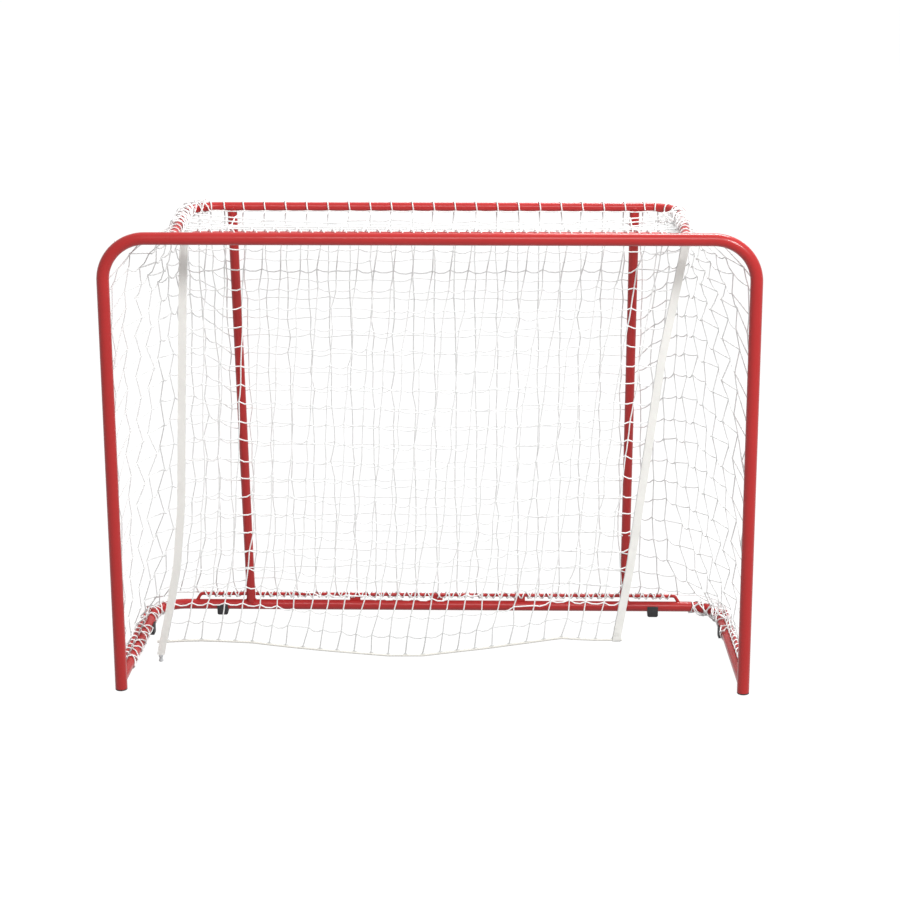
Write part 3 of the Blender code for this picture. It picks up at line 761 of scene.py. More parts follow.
class GOAL_OT_rods(bpy.types.Operator):
    """Bend the lacing rods and weld their tabs"""
    bl_idname = "goal.rods"
    bl_label = "Lacing rods"

    def execute(self, context):
        for name, (start, end, stand, tabs) in rail_lines().items():
            run = (end - start).normalized()
            middle = (start + end) / 2
            spots = [(middle + run * k, run) for k in tabs]
            if name == "rail_back_centre":
                points = [start, end]
            else:
                points = turned_down(start, end, stand, both=not name.startswith("rail_back"))
            rod(name, points, spots, stand)
        return {"FINISHED"}


class GOAL_OT_feet(bpy.types.Operator):
    """Make the post plugs and the rubber saddles"""
    bl_idname = "goal.feet"
    bl_label = "Feet"

    def execute(self, context):
        s = context.scene.goal_frame
        plug_r = plan.hoop_r - HOOP_WALL - 2 * GAP
        top = CAP_FLANGE + CAP_PLUG
        profile = [(0, top), (plug_r - 0.0008, top), (plug_r, top - 0.0008), (plug_r, CAP_FLANGE),
                   (plan.hoop_r - 0.0005, CAP_FLANGE), (plan.hoop_r, CAP_FLANGE - 0.0005),
                   *rounded_corner((plan.hoop_r - 0.0009, 0.0009), 0.0009, 0, -90), (0, 0)]
        for sign in (-1, 1):
            bm = spun(profile, at(sign * plan.post_x, 0, 0))
            finish_piece(side_name("post_plug", sign), bm, "black_plastic",
                         replaces=[side_name("foot_cap", sign)])

        places = []
        for sign in (-1, 1):
            spot = at(sign * BACK_SADDLE_X, s.base_depth, 0)
            places.append((side_name("foot_back", sign), spot, X_AXIS))
            start, run = base_side(sign)
            spot = start + run * (SIDE_SADDLE_DEPTH / run.y)
            places.append((side_name("foot_side", sign), Vector((spot.x, spot.y, 0)), run))
        for name, spot, run in places:
            self.saddle(name, spot, run)
        return {"FINISHED"}

    def saddle(self, name, spot, run):
        """A rubber block with a bore that snaps round the floor tube."""
        bore = plan.base_r + GAP
        half = bore + SADDLE_WALL
        lip, chamfer, edge_r = 0.004, 0.003, 0.0006
        high = plan.base_z + lip
        mouth = math.asin(lip / bore)
        bm = bmesh.new()
        first = bm.verts.new((0, bore * math.cos(mouth), high))
        bmesh.ops.spin(bm, geom=[first], cent=(0, 0, plan.base_z), axis=(1, 0, 0),
                       angle=-(math.pi + 2 * mouth), steps=28, use_merge=False)
        arc = sorted(bm.verts, key=lambda v: -((math.atan2(v.co.z - plan.base_z, v.co.y)
                                               - mouth - 0.001) % (2 * math.pi)))
        outer = [bm.verts.new((0, y, z)) for y, z in
                 ((-half, high), (-half, 0.0), (half, 0.0), (half, high))]
        face = bm.faces.new(arc + outer)
        made = bmesh.ops.extrude_face_region(bm, geom=[face])["geom"]
        bmesh.ops.translate(bm, verts=new_verts(made), vec=(SADDLE_LENGTH, 0, 0))
        bmesh.ops.translate(bm, verts=bm.verts, vec=(-SADDLE_LENGTH / 2, 0, 0))
        bmesh.ops.recalc_face_normals(bm, faces=bm.faces)
        ends = [e for e in bm.edges if all(v.co.z < 1e-6 for v in e.verts)
                and abs(e.verts[0].co.x - e.verts[1].co.x) < 1e-6]
        bmesh.ops.bevel(bm, geom=ends, offset=chamfer, segments=1, affect="EDGES", profile=0.5,
                        material=-1)
        sharp = [e for e in bm.edges if e.is_manifold and e.calc_face_angle() > math.radians(30)]
        bmesh.ops.bevel(bm, geom=sharp, offset=edge_r, segments=2, affect="EDGES", profile=0.5,
                        material=-1)
        place = placed(run, Z_AXIS.cross(run), Z_AXIS, spot)
        bmesh.ops.transform(bm, matrix=place, verts=bm.verts)
        finish_piece(name.replace("foot", "saddle"), bm, "black_rubber", replaces=[name])


class GOAL_OT_screws(bpy.types.Operator):
    """Turn the button-head screws of the plug-on joints"""
    bl_idname = "goal.screws"
    bl_label = "Screws"

    def execute(self, context):
        for sign in (-1, 1):
            start, run = base_side(sign)
            outward = run.cross(Z_AXIS) * sign
            depth = plan.hoop_r + SCREW_FROM_HOOP
            seat = start + run * depth + outward * (plan.base_r + GAP)
            self.screw(side_name("base_screw", sign), seat, outward)
            seat = at(sign * plan.side_x, depth, plan.bar_z - plan.top_r - GAP)
            self.screw(side_name("top_screw", sign), seat, -Z_AXIS)
        return {"FINISHED"}

    def screw(self, name, seat, outward):
        """A domed head with a hexagon socket, and its shank."""
        crown_r, crown, socket_r, socket_depth = 0.0022, 0.0021, 0.00165, 0.0013
        head_r, head_height, shank_r, shank, tip = 0.005, 0.0024, 0.0025, 0.008, 0.009
        dome = [(head_r * math.sin(math.radians(a)), head_height * math.cos(math.radians(a)))
                for a in range(30, 91, 10)]
        profile = [(crown_r, crown), *dome, (0.0049, 0), (shank_r, 0), (shank_r, -shank), (0, -tip)]
        bm = turned(profile, 36)
        mouth = [e for e in bm.edges if e.is_boundary]
        hexagon = bmesh.ops.create_circle(bm, segments=6, radius=socket_r,
                                          matrix=Matrix.Translation((0, 0, crown)))["verts"]
        socket = list({e for v in hexagon for e in v.link_edges})
        bmesh.ops.bridge_loops(bm, edges=mouth + socket)
        pull(bm, socket, Vector((0, 0, -socket_depth)))
        close_up(bm)
        bmesh.ops.transform(bm, matrix=facing(outward, seat), verts=bm.verts)
        finish_piece(name + "_head", bm, "zinc_steel", replaces=[name], sharp=25)


# Nets

def along_path(path, distances):
    """Points at the given distances along a path, and the path's length."""
    path = np.array([tuple(p) for p in path], float)
    spans = np.linalg.norm(np.diff(path, axis=0), axis=1)
    reach = np.concatenate([[0.0], np.cumsum(spans)])
    points = np.stack([np.interp(distances, reach, path[:, k]) for k in range(3)], axis=-1)
    return points, reach[-1]


def arc_points(centre, radius, start, end, first, second, steps=8):
    """Points round an arc in the plane of two directions, from angle to angle in degrees."""
    angles = [math.radians(start + (end - start) * i / steps) for i in range(steps + 1)]
    return [centre + first * radius * math.cos(a) + second * radius * math.sin(a) for a in angles]


def hang(nodes, free, across, upward, steps=1500, fall=0.00002, keep_off=None):
    """Lets a square net of cords settle under its own weight between its fixed knots."""
    for _ in range(steps):
        nodes[..., 2] -= fall * free
        for axis, mesh in ((0, across), (1, upward)):
            for odd in (0, 1):
                view = nodes if axis == 0 else nodes.transpose(1, 0, 2)
                loose = free if axis == 0 else free.T
                near, far = view[odd:-1:2], view[odd + 1::2]
                count = min(len(near), len(far))
                near, far = near[:count], far[:count]
                near_free, far_free = loose[odd:-1:2][:count], loose[odd + 1::2][:count]
                gap = far - near
                length = np.linalg.norm(gap, axis=-1)
                over = np.maximum(length - mesh, 0) / np.maximum(length, 1e-9)
                over /= np.maximum(near_free + far_free, 1e-9)
                near += (near_free * over)[..., None] * gap
                far -= (far_free * over)[..., None] * gap
        if keep_off:
            keep_off(nodes, free)
    return nodes


def loose_knots(nodes):
    """1 at a net's inner knots, 0 along its edges."""
    free = np.ones(nodes.shape[:2])
    free[0] = free[-1] = free[:, 0] = free[:, -1] = 0
    return free


def sagging_line(points, mesh, steps=3, droop=0.6):
    """A cord through its knots that sags wherever two of them are nearer than its mesh."""
    most_slack = 0.012
    line = [points[0]]
    for near, far in zip(points, points[1:]):
        chord = np.linalg.norm(far - near)
        sag = droop * math.sqrt(0.375 * chord * min(max(mesh - chord, 0.0), most_slack))
        for k in range(1, steps + 1):
            t = k / steps
            spot = near + (far - near) * t
            spot = spot - np.array((0, 0, 4 * sag * t * (1 - t)))
            line.append(spot)
    return line


def net_lines(nodes, across, upward):
    """A net's cords through its knots: columns first, then rows."""
    return ([sagging_line(column, upward, 2) for column in nodes]
            + [sagging_line(row, across, 3) for row in nodes.transpose(1, 0, 2)])


class GOAL_OT_goal_net(bpy.types.Operator):
    """Hang the goal net from the roof tubes to the lacing rods"""
    bl_idname = "goal.goal_net"
    bl_label = "Goal net"

    def execute(self, context):
        n = context.scene.goal_nets
        half, rows = n.half_columns, n.rows
        side_columns, between_struts = 8, 10
        low, high, side = self.edges(context.scene.goal_frame, half, rows)
        mirror = np.array((-1, 1, 1))
        low = np.concatenate([low, low[:-1][::-1] * mirror])
        high = np.concatenate([high, high[:-1][::-1] * mirror])
        share = np.linspace(0, 1, rows + 1)[None, :, None]
        nodes = low[:, None] * (1 - share) + high[:, None] * share
        nodes[0], nodes[-1] = side, side * mirror
        free = loose_knots(nodes)
        hang(nodes, free, n.across, n.upward, keep_off=self.off_struts)
        self.draw_in(nodes, half - between_struts)
        self.shake(nodes, free)

        ends = (0, side_columns, 2 * half - side_columns, 2 * half)
        for name, replaced, first, last in zip(("left_side_net", "rear_net", "right_side_net"),
                                               ("net_side_left", "net_back", "net_side_right"),
                                               ends, ends[1:]):
            columns = nodes[first:last if last < 2 * half else last + 1]
            lines = [sagging_line(column, n.upward, 2) + self.over_the_bar(column[-1])
                     for column in columns]
            lines += [sagging_line(nodes[first:last + 1, j], n.across, 3) for j in range(rows + 1)]
            bm = knotted(lines, columns.reshape(-1, 3))
            finish_piece(name, bm, "white_cord", replaces=[replaced])
        self.roof(n, context.scene.goal_frame)
        return {"FINISHED"}

    def edges(self, s, half, rows):
        """Knots along the left halves of the lower and upper edges, and up the left post."""
        corner_r, corner_inset, above_rod, up_strut = 0.088, 0.1068, 0.002, 0.0256
        behind_bar, front_dip, bend_back, bend_out = 0.022, 0.002, 0.004, 0.012
        outer_x = plan.post_x + s.rail_lean + plan.rail_r + GAP + plan.cord_r
        low_z = plan.base_z + plan.back_stand.z + above_rod
        post_y = plan.hoop_y + plan.post_rail_depth
        off_strut = plan.back * (plan.strut_r + GAP + plan.cord_r)
        rear = (plan.strut_foot + plan.up * up_strut + off_strut).y
        corner = Vector((-(outer_x - corner_inset), rear - corner_r, low_z))
        bottom = [Vector((-outer_x, post_y, low_z)), Vector((corner.x - corner_r, corner.y, low_z)),
                  *arc_points(corner, corner_r, 180, 90, X_AXIS, Y_AXIS), Vector((0, rear, low_z))]
        top_reach = plan.top_r + GAP + plan.cord_r
        top_z = plan.bar_z + ROOF_NET_RISE
        top_x = plan.side_x + top_reach
        corner = at(-(plan.side_x - s.top_bend), s.top_depth - s.top_bend, top_z)
        top = [at(-top_x, behind_bar, top_z - front_dip), Vector((-top_x, corner.y, top_z)),
               *arc_points(corner, s.top_bend + top_reach, 180, 90, X_AXIS, Y_AXIS),
               at(0, s.top_depth + top_reach, top_z)]
        bend = Vector((s.hoop_bend - plan.post_x, post_y - bend_back, plan.bar_z - s.hoop_bend))
        front = [Vector((-outer_x, post_y, low_z)), Vector((-outer_x, post_y, POST_ROD[1])),
                 *arc_points(bend, s.hoop_bend + bend_out, 175, 105, X_AXIS, Z_AXIS), top[0]]
        on_post = POST_ROD[1] - low_z
        _, length = along_path(front, [0])
        steps = np.concatenate([on_post * np.linspace(0, 1, rows - 1) ** 1.25,
                                np.linspace(on_post, length, 3)[1:]])
        side, _ = along_path(front, steps)
        return (self.half_edge(bottom, half, pitch=0.0493, straight=0.60),
                self.half_edge(top, half, pitch=ROOF_PITCH, straight=0.47), side)

    def half_edge(self, path, count, pitch, straight):
        """Knots along the left half of an edge: even on the straight back, the rest shared out."""
        _, total = along_path(path, [0])
        even = straight / pitch
        i = np.arange(count + 1, dtype=float)
        cut = count - even
        rest = total - straight
        points, _ = along_path(path, np.where(i <= cut, i / cut * rest, rest + (i - cut) * pitch))
        return points

    def off_struts(self, nodes, free):
        keep = plan.strut_r + plan.cord_r + GAP
        for sign in (-1, 1):
            foot = np.array(plan.strut_foot + X_AXIS * sign * plan.strut_x)
            up = np.array(plan.up)
            rel = nodes - foot
            across = rel - (rel @ up)[..., None] * up
            reach = np.linalg.norm(across, axis=-1)
            near = (reach < keep) & (free > 0)
            push = (keep - reach) / np.maximum(reach, 1e-6)
            nodes[near] += (across * push[..., None])[near]

    def draw_in(self, nodes, count):
        """Taut rows cut the corner between post and strut, and rise to the roof's corner."""
        straighten, rise, full_from, fades_over = 0.8, 0.098, 0.55, 0.25
        for side in (nodes, nodes[::-1]):
            share = (np.arange(count + 1) / count)[:, None]
            chord = side[:1] * (1 - share[..., None]) + side[count:count + 1] * share[..., None]
            height = np.linspace(0, 1, side.shape[1])[None, :]
            hold = np.sin(np.pi * height) ** 0.6
            shift = (chord - side[:count + 1]) * (straighten * hold)[..., None]
            lift = np.minimum((height / full_from) ** 1.1, np.minimum((1 - height) / fades_over, 1))
            shift[..., 2] = rise * np.sin(np.pi * share ** 1.2) * lift
            side[1:count] += shift[1:count]

    def shake(self, nodes, free):
        """Small unevenness of hand-hung meshes."""
        zigzag = 0.0068
        rng = np.random.default_rng(11)
        drift = rng.normal(0, KNOT_DRIFT, nodes.shape)
        drift[..., 1] *= 0.6
        across, upward = np.indices(nodes.shape[:2])
        from_middle = np.abs(across - (len(nodes) - 1) / 2)
        slack = np.clip(from_middle / 8 - 1.2, 0.10, 1.0)
        slack *= np.clip(((len(nodes) - 1) / 2 - from_middle) / 3, 0.3, 1.0)
        slack *= np.clip((nodes.shape[1] - 1 - upward) / 4, 0.2, 1.0)
        drift[..., 0] += np.where((across + upward) % 2, zigzag, -zigzag) * slack
        nodes += drift * free[..., None]

    def over_the_bar(self, end):
        """A column's last cord: over the roof tube and down to its inner side."""
        s = bpy.context.scene.goal_frame
        reach = plan.top_r + plan.cord_r + GAP
        back_y = plan.hoop_y + s.top_depth
        inner = plan.side_x - s.top_bend
        spot = Vector(end)
        corner = Vector((math.copysign(inner, spot.x), back_y - s.top_bend, plan.bar_z))
        if abs(spot.x) > inner and spot.y > corner.y:
            flat = Vector((spot.x - corner.x, spot.y - corner.y, 0)).normalized()
            axis_point = corner + flat * s.top_bend
        elif abs(spot.x) > inner:
            flat = Vector((math.copysign(1, spot.x), 0, 0))
            axis_point = Vector((math.copysign(plan.side_x, spot.x), spot.y, plan.bar_z))
        else:
            flat = Y_AXIS
            axis_point = Vector((spot.x, back_y, plan.bar_z))
        steps, lean = 6, 0.004
        turn = arc_points(axis_point, reach, 60, 200, flat, Z_AXIS, steps)
        slant = X_AXIS * lean if flat == Y_AXIS else Vector()
        return [np.array(p + slant * (k / steps)) for k, p in enumerate(turn)]

    def roof(self, n, s):
        """The flat net between the crossbar's rod and the roof tubes."""
        columns, rows = ROOF_MESHES
        behind_rod, aside, rear_inset, rear_drop, side_drop = 0.005, 0.004, 0.0088, 0.0079, 0.006
        rope_reach, give = 0.012, 0.0006
        inner = plan.side_x - plan.top_r - plan.cord_r
        front = at(0, plan.bar_stand.y + behind_rod, plan.bar_z + plan.bar_stand.z)
        rear_y = plan.hoop_y + s.top_depth - rear_inset
        middle = (columns - 2) // 2
        xs = [-inner, *(ROOF_PITCH * (k - middle) + aside for k in range(columns - 1)), inner]
        share = np.linspace(0, 1, rows + 1)
        nodes = np.empty((columns + 1, rows + 1, 3))
        nodes[..., 0] = np.array(xs)[:, None]
        nodes[..., 1] = front.y + (rear_y - front.y) * share[None, :]
        nodes[..., 2] = front.z + (plan.bar_z - rear_drop - front.z) * share[None, :]
        nodes[[0, -1], :, 2] = plan.bar_z - side_drop
        rope_y = plan.hoop_y + n.drop_depth
        floor_z = plan.header_z + n.header_rope / 2 + plan.cord_r

        def on_rope(points, loose):
            near = (np.abs(points[..., 1] - rope_y) < rope_reach) & (loose > 0)
            points[..., 2] = np.where(near, np.maximum(points[..., 2], floor_z), points[..., 2])

        across, upward = ROOF_MESH
        hang(nodes, loose_knots(nodes), across, upward + give, keep_off=on_rope)
        bm = knotted(net_lines(nodes, across, upward), nodes.reshape(-1, 3))
        finish_piece("roof_net", bm, "white_cord", replaces=["net_roof"])


def bent_line(points, bend_radius, steps=12):
    """The middle line of a level tube bent at its second point."""
    start, corner, end = points
    back, ahead = (start - corner).normalized(), (end - corner).normalized()
    half = back.angle(ahead) / 2
    centre = corner + (back + ahead).normalized() * (bend_radius / math.sin(half))
    first = corner + back * (bend_radius / math.tan(half)) - centre
    turn = math.pi - 2 * half
    hand = 1 if first.cross(ahead).z > 0 else -1
    bend = [centre + Matrix.Rotation(hand * turn * i / steps, 3, "Z") @ first
            for i in range(steps + 1)]
    return [start, *bend, end]


def round_line(path, distances, angles, reach):
    """Points round a level line: how far along it, at what angle and how far out."""
    ahead = 0.001
    here, _ = along_path(path, distances)
    there, _ = along_path(path, distances + ahead)
    side = np.cross(there - here, (0, 0, 1))
    side /= np.linalg.norm(side, axis=1)[:, None]
    return (here + side * (reach * np.cos(angles))[:, None]
            + np.array((0, 0, 1)) * (reach * np.sin(angles))[:, None])


def bunched_net(rng, path, first, last, reach, strands, step, loose, bulge):
    """Netting drawn up round a level tube: its cords, and the places of its knots."""
    stray_along, stray_round = 0.2, 0.24
    rows = int((last - first) / step)
    row, strand = np.indices((rows + 1, strands))
    along = first + row * step + rng.normal(0, stray_along * step, row.shape)
    angle = math.pi / strands * (row + 2 * strand) + rng.normal(0, stray_round, row.shape)
    lift = np.sin(angle)
    out = reach + loose * rng.random(row.shape) * (1 + lift) / 2 + bulge * np.maximum(lift, 0)
    fine = np.linspace(0, rows, rows * 4 + 1)
    lines = []
    for k in range(strands):
        for hand in (0, 1):
            steps = np.arange(rows + 1)
            picked = steps, (k - hand * steps) % strands
            lines.append(round_line(path, *(np.interp(fine, steps, values) for values in (
                along[picked], np.unwrap(angle[picked]), out[picked]))))
    return lines, round_line(path, along.ravel(), angle.ravel(), out.ravel())


def spiral(start, end, reach_a, reach_b, pitch, turn_points=12):
    """A cord wound along a line: reach_a and reach_b are the half axes of its turns."""
    run = end - start
    count = int(run.length / pitch * turn_points)
    points = []
    for i in range(count + 1):
        angle = 2 * math.pi * i / turn_points
        out = reach_a * math.cos(angle) + reach_b * math.sin(angle)
        points.append(start + run * (i / count) + out)
    return points


class GOAL_OT_lacing(bpy.types.Operator):
    """Wind the white cord round the rods and the net's edges"""
    bl_idname = "goal.lacing"
    bl_label = "Lacing"

    def execute(self, context):
        s = context.scene.goal_frame
        slack, oval, wider, first_gap, second_gap = 0.0012, 0.001, 0.0008, 0.006, 0.010
        reach = plan.rail_r + plan.cord_r + GAP + slack
        for name, (start, end, stand, _) in rail_lines().items():
            run = (end - start).normalized()
            first = stand.normalized()
            second = run.cross(first)
            lines = [spiral(start + run * first_gap, end - run * first_gap,
                            first * reach, second * (reach + oval), ROD_PITCH)]
            if name.startswith("rail_back"):
                wide = reach + wider
                lines.append(spiral(end - run * second_gap, start + run * second_gap,
                                    first * wide, second * wide, SECOND_PITCH))
            replaced = ["lacing_centre"] if name == "rail_back_centre" else ()
            finish_piece(name.replace("rail", "lacing") + "_cord", cords(lines, plan.cord_r, 8),
                         "white_cord", replaces=replaced)
        rng = np.random.default_rng(23)
        on_floor = plan.base_r + GAP + plan.cord_r
        on_roof = plan.top_r + GAP + 3 * plan.cord_r
        for sign in (-1, 1):
            floor_line, roof_line = (
                bent_line([at(sign * front, 0, z), at(sign * back, depth, z), at(0, depth, z)],
                          bend)
                for front, back, depth, z, bend in (
                    (plan.post_x, plan.base_back_x, s.base_depth, plan.base_z, s.base_bend),
                    (plan.side_x, plan.side_x, s.top_depth, plan.bar_z, s.top_bend)))
            for name, line, reach, bunches in (
                    ("floor_side_cord", floor_line, on_floor, FLOOR_SIDE[sign]),
                    ("floor_corner_cord", floor_line, on_floor, FLOOR_CORNER[sign]),
                    ("roof_corner_cord", roof_line, on_roof, ROOF_CORNER)):
                layers = [bunched_net(rng, line, first, last, reach + out, *rest)
                          for first, last, out, *rest in bunches]
                lines = [cord for layer, _ in layers for cord in layer]
                knots = [knot for _, layer in layers for knot in layer]
                finish_piece(side_name(name, sign), knotted(lines, knots, 8, BUNCH_KNOT),
                             "white_cord")
        return {"FINISHED"}


def strap_x(path, z):
    """How far to the side a strap hangs at a height."""
    return np.interp(-z, [-q for _, q in path], [p for p, _ in path])


class GOAL_OT_inner_net(bpy.types.Operator):
    """Hang the inner net with its ropes, webbing and toggle"""
    bl_idname = "goal.inner_net"
    bl_label = "Inner net"

    def execute(self, context):
        n = context.scene.goal_nets
        y = plan.hoop_y + n.drop_depth
        rope_z = plan.header_z
        header_r = n.header_rope / 2
        left = [(STRAP_TOPS[0], rope_z), *LEFT_STRAP, (LEFT_HEM_X, n.hem_height), LEFT_TAIL]
        right = [(STRAP_TOPS[1], rope_z), *RIGHT_STRAP]

        # Net
        columns, rows = n.drop_columns, n.drop_rows
        inset, billow_depth = 0.010, 0.010
        top_z = rope_z - header_r - plan.cord_r
        nodes = np.empty((columns + 1, rows + 1, 3))
        rng = np.random.default_rng(5)
        for j in range(rows + 1):
            down = j / rows
            for i in range(columns + 1):
                across = i / columns
                low_x = LEFT_HEM_X + inset + (RIGHT_HEM_X - LEFT_HEM_X - 2 * inset) * across
                low_z = np.interp(low_x, *zip(*HEM)) + n.hem_rope / 2
                z = top_z + (low_z - top_z) * down
                half = n.strap_width / 2
                x0, x1 = strap_x(left, z) + half, strap_x(right, z) - half
                billow = billow_depth * math.sin(7 * across + 3 * down)
                nodes[i, j] = (x0 + (x1 - x0) * across,
                               y + billow * down * (1 - across) * across * 4, z)
        nodes += rng.normal(0, KNOT_DRIFT, nodes.shape) * loose_knots(nodes)[..., None]
        bm = knotted(net_lines(nodes, *INNER_MESH), nodes.reshape(-1, 3))
        finish_piece("inner_catch_net", bm, "white_cord", NET_BODY, ["drop_net"], "inner_cord")

        # Ropes
        hem = [Vector((p[0], p[1], p[2] - n.hem_rope / 2 - plan.cord_r)) for p in nodes[:, -1]]
        hem = [hem[0] - X_AXIS * HEM_TAILS[0], *hem, hem[-1] + X_AXIS * HEM_TAILS[1]]
        bm = cords([sagging_line(np.array([tuple(p) for p in hem]), 0, 3)], n.hem_rope / 2, 12)
        finish_piece("hem_rope", bm, "white_cord", NET_BODY, ["drop_hem_rope"], "hem_rope")
        reach = plan.side_x + HEADER_TAIL
        bm = cords([[Vector((x, y, rope_z)) for x in (-reach, -0.3, 0, 0.3, reach)]], header_r, 12)
        for sign in (-1, 1):
            ring = arc_points(at(sign * plan.side_x, n.drop_depth, plan.bar_z),
                              plan.top_r + GAP + SPLICE_R, 0, 350, X_AXIS, Z_AXIS, 35)
            join(bm, cords([ring], SPLICE_R, 12, closed=True))
        finish_piece("header_cord", bm, "white_cord", FRAME_BODY, ["header_rope"])

        # Straps and toggle
        near_rope_z, fold_lean = 0.9, 0.004
        half = n.strap_thickness / 2
        eye_r = header_r + half + STRAP_GAP
        hem_r = n.hem_rope / 2 + half + STRAP_GAP
        hem_end = Vector((right[-1][0], y, right[-1][1] - plan.cord_r))
        for name, path in (("left", left), ("right", right)):
            x = path[0][0]
            line = [Vector((x, y + eye_r, rope_z - STRAP_FOLD)), Vector((x, y + eye_r, rope_z))]
            line += arc_points(Vector((x, y, rope_z)), eye_r, 0, 180, Y_AXIS, Z_AXIS)[1:]
            low = [Vector((p, y - eye_r if z > near_rope_z else y - hem_r, z)) for p, z in path[1:]]
            tacks = [(Vector((x, y - eye_r - half, rope_z)), -z) for z in TACKS]
            if name == "right":
                low[-1] = hem_end - Y_AXIS * hem_r
                low += arc_points(hem_end, hem_r, 180, 360, Y_AXIS, Z_AXIS)[1:]
                low.append(hem_end + Y_AXIS * hem_r + Vector((fold_lean, 0, STRAP_FOLD)))
                tacks += [(hem_end - Y_AXIS * (hem_r + half), z) for z in TACKS]
            bm = self.strap(line + low, n.strap_width, n.strap_thickness)
            self.tack(bm, tacks, n.strap_width)
            finish_piece(name + "_webbing", bm, "cream_webbing", NET_BODY, ["drop_strap_" + name])
        length = 0.016
        upper = [(0, 0), (0.0040, 0), (0.0052, -0.0008), (0.0055, -0.0024), (0.0042, -0.0052)]
        profile = [*upper, (0.0035, -length / 2), *((r, -length - z) for r, z in upper[::-1])]
        bm = spun(profile, (LEFT_TAIL[0], y - hem_r, LEFT_TAIL[1] - GAP), 32)
        finish_piece("toggle_bead", bm, "grey_plastic", NET_BODY, ["strap_toggle"])
        return {"FINISHED"}

    def strap(self, path, width, thickness):
        """Webbing along a path, with its UVs in metres across and along."""
        stations = 260
        _, length = along_path(path, [0])
        points, _ = along_path(path, np.linspace(0, length, stations + 1))
        bm = bmesh.new()
        bmesh.ops.create_grid(bm, x_segments=6, y_segments=stations, size=0.5, calc_uvs=False)
        uv = bm.loops.layers.uv.new("UVMap")
        for vert in bm.verts:
            across, step = vert.co.x, round((vert.co.y + 0.5) * stations)
            spot = Vector(points[step])
            for face_loop in vert.link_loops:
                face_loop[uv].uv = (across * width, step / stations * length)
            vert.co = spot + X_AXIS * across * width
        bm.normal_update()
        for vert, normal in [(v, v.normal.copy()) for v in bm.verts]:
            vert.co += normal * (thickness / 2)
        bm.normal_update()
        bmesh.ops.solidify(bm, geom=bm.faces, thickness=thickness)
        bmesh.ops.recalc_face_normals(bm, faces=bm.faces)
        return bm

    def tack(self, bm, tacks, width):
        """Zigzag rows of thread that hold a folded end of webbing."""
        stitches, row_share, sunk, zigzag, thread_r = 18, 0.8, 0.0001, 0.0009, 0.00035
        lines = []
        for spot, rise in tacks:
            lines.append([spot + Vector((width * (k / stitches - 0.5) * row_share, -sunk,
                                         rise + (zigzag if k % 2 else -zigzag)))
                          for k in range(stitches + 1)])
        join(bm, cords(lines, thread_r, 4))


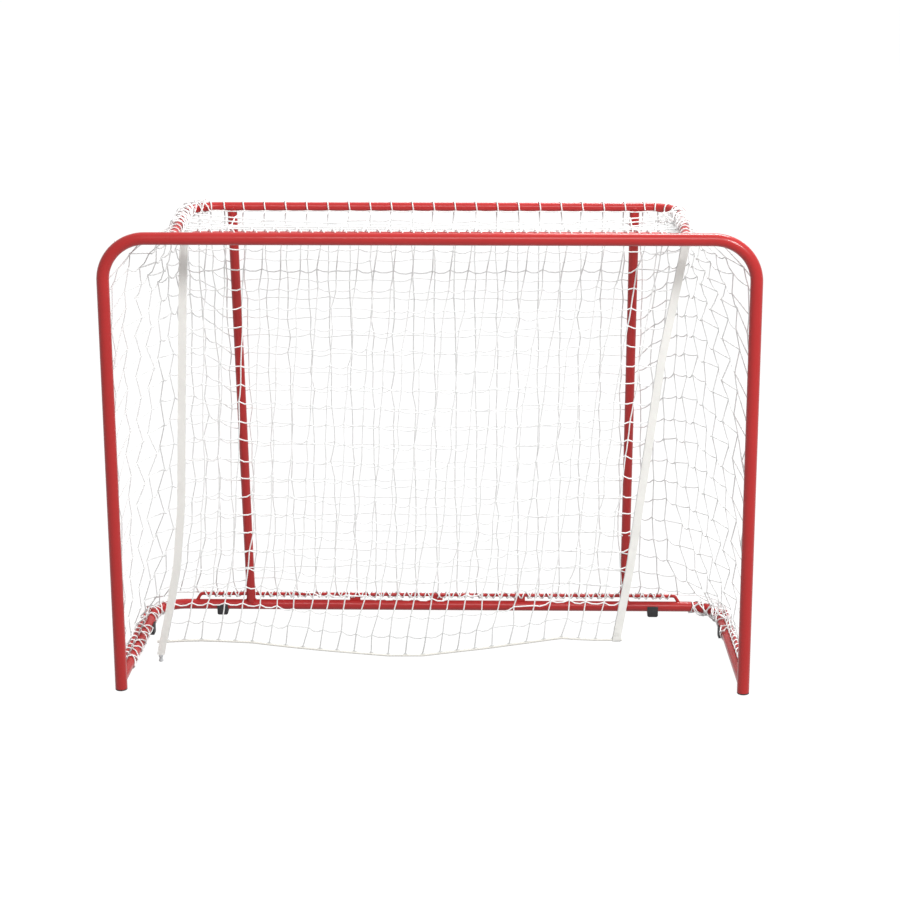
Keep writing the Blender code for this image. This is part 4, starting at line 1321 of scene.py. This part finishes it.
class GOAL_OT_studio(bpy.types.Operator):
    """Set the floor, the lights and the camera"""
    bl_idname = "goal.studio"
    bl_label = "Studio"

    def execute(self, context):
        scene = context.scene
        scene.view_settings.view_transform = "Standard"
        self.floor(scene)
        self.sky(scene)
        self.lamps()
        self.camera(scene)
        return {"FINISHED"}

    def floor(self, scene):
        """A pale floor that shows as even white and takes faint shadows."""
        glow_strength, glow_share = 1.13, 0.88
        bm = bmesh.new()
        bmesh.ops.create_grid(bm, x_segments=1, y_segments=1, size=30.0)
        mesh = new_mesh("studio_floor", bm)
        mat = bpy.data.materials.new("studio_floor")
        mat.use_nodes = True
        tree = mat.node_tree
        tree.nodes.clear()
        c = scene.goal_finishes
        matte = node(tree, "ShaderNodeBsdfDiffuse")
        matte.inputs[0].default_value = (*c.floor, 1.0)
        glow = node(tree, "ShaderNodeEmission")
        glow.inputs["Strength"].default_value = glow_strength
        mix = node(tree, "ShaderNodeMixShader")
        feed(tree, mix.inputs[0], maths(tree, "MULTIPLY", seen_straight(tree), glow_share))
        tree.links.new(matte.outputs[0], mix.inputs[1])
        tree.links.new(glow.outputs[0], mix.inputs[2])
        out = node(tree, "ShaderNodeOutputMaterial")
        tree.links.new(mix.outputs[0], out.inputs[0])
        mesh.materials.append(mat)
        floor = new_object("studio_floor", mesh)

    def sky(self, scene):
        """White where the camera looks, and brighter above and to the right for its light."""
        low_light, high_light, right_gain = 0.17, 0.96, 0.23
        world = bpy.data.worlds.new("studio")
        scene.world = world
        world.use_nodes = True
        tree = world.node_tree
        back = tree.nodes["Background"]
        back.inputs[0].default_value = (1, 1, 1, 1)
        right, _, height = parts_of(tree, place_of(tree, "Generated"))
        sky = ramp(tree, height, -0.2, 1.0, low_light, high_light)
        level = node(tree, "ShaderNodeMix", data_type="FLOAT")
        feed(tree, level.inputs[0], seen_straight(tree))
        feed(tree, level.inputs[2], maths(tree, "MULTIPLY_ADD", right, right_gain, sky))
        feed(tree, level.inputs[3], 1.0)
        feed(tree, back.inputs[1], level.outputs[0])

    def lamps(self):
        aim = Vector((0, 0, 0.5))
        for name, spot, width, height, power in (
                ("key", (3.0, -3.6, 3.8), 1.4, 1.4, 225.0),
                ("fill", (0.3, -4.6, 4.2), 2.4, 1.6, 96.0),
                ("rim", (1.1, 1.7, 3.6), 1.8, 0.6, 120.0)):
            lamp = bpy.data.lights.new(name, "AREA")
            lamp.shape = "RECTANGLE"
            lamp.size = width
            lamp.size_y = height
            lamp.energy = power
            spot = Vector(spot)
            new_object(name, lamp).matrix_world = facing(spot - aim, spot)

    def camera(self, scene):
        pitch, yaw, roll = 0.31641, -0.02598, -0.00378
        aside, in_front, high = 0.18907, 5.54398, 2.39849
        focal_pixels, picture_pixels, sensor = 2619.98, 900, 36.0
        ahead = Vector((math.sin(yaw), math.cos(yaw), 0))
        level_up = ahead * math.sin(pitch) + Z_AXIS * math.cos(pitch)
        look = ahead * math.cos(pitch) - Z_AXIS * math.sin(pitch)
        right = Vector((math.cos(yaw), -math.sin(yaw), 0))
        turned_right = right * math.cos(roll) + level_up * math.sin(roll)
        turned_up = level_up * math.cos(roll) - right * math.sin(roll)
        lens = bpy.data.cameras.new("camera")
        lens.sensor_width = sensor
        lens.lens = focal_pixels / picture_pixels * sensor
        eye = new_object("camera", lens)
        eye.matrix_world = placed(turned_right, turned_up, -look,
                                  (aside, plan.hoop_y - in_front, high))
        scene.camera = eye


STEPS = (GOAL_OT_finishes, GOAL_OT_tubes, GOAL_OT_rods, GOAL_OT_feet, GOAL_OT_screws,
         GOAL_OT_goal_net, GOAL_OT_lacing, GOAL_OT_inner_net, GOAL_OT_studio)


class GOAL_PT_panel(bpy.types.Panel):
    """Sizes, finishes and steps of the goal"""
    bl_idname = "GOAL_PT_panel"
    bl_label = "Multisport goal"
    bl_space_type = "VIEW_3D"
    bl_region_type = "UI"
    bl_category = "Goal"

    def draw(self, context):
        for name, kind in GROUPS.items():
            box = self.layout.box()
            for setting in kind.__annotations__:
                box.prop(getattr(context.scene, name), setting)
        for step in STEPS:
            self.layout.operator(step.bl_idname)


GROUPS = {"goal_frame": FrameSizes, "goal_nets": NetSizes, "goal_finishes": Finishes}


def register():
    for cls in (*GROUPS.values(), *STEPS, GOAL_PT_panel):
        bpy.utils.register_class(cls)
    for name, group in GROUPS.items():
        setattr(bpy.types.Scene, name, PointerProperty(type=group))


def unregister():
    for name in GROUPS:
        delattr(bpy.types.Scene, name)
    for cls in (GOAL_PT_panel, *reversed(STEPS), *reversed(GROUPS.values())):
        bpy.utils.unregister_class(cls)


def main():
    register()
    for step in STEPS:
        area, name = step.bl_idname.split(".")
        getattr(getattr(bpy.ops, area), name)()


if __name__ == "__main__":
    main()
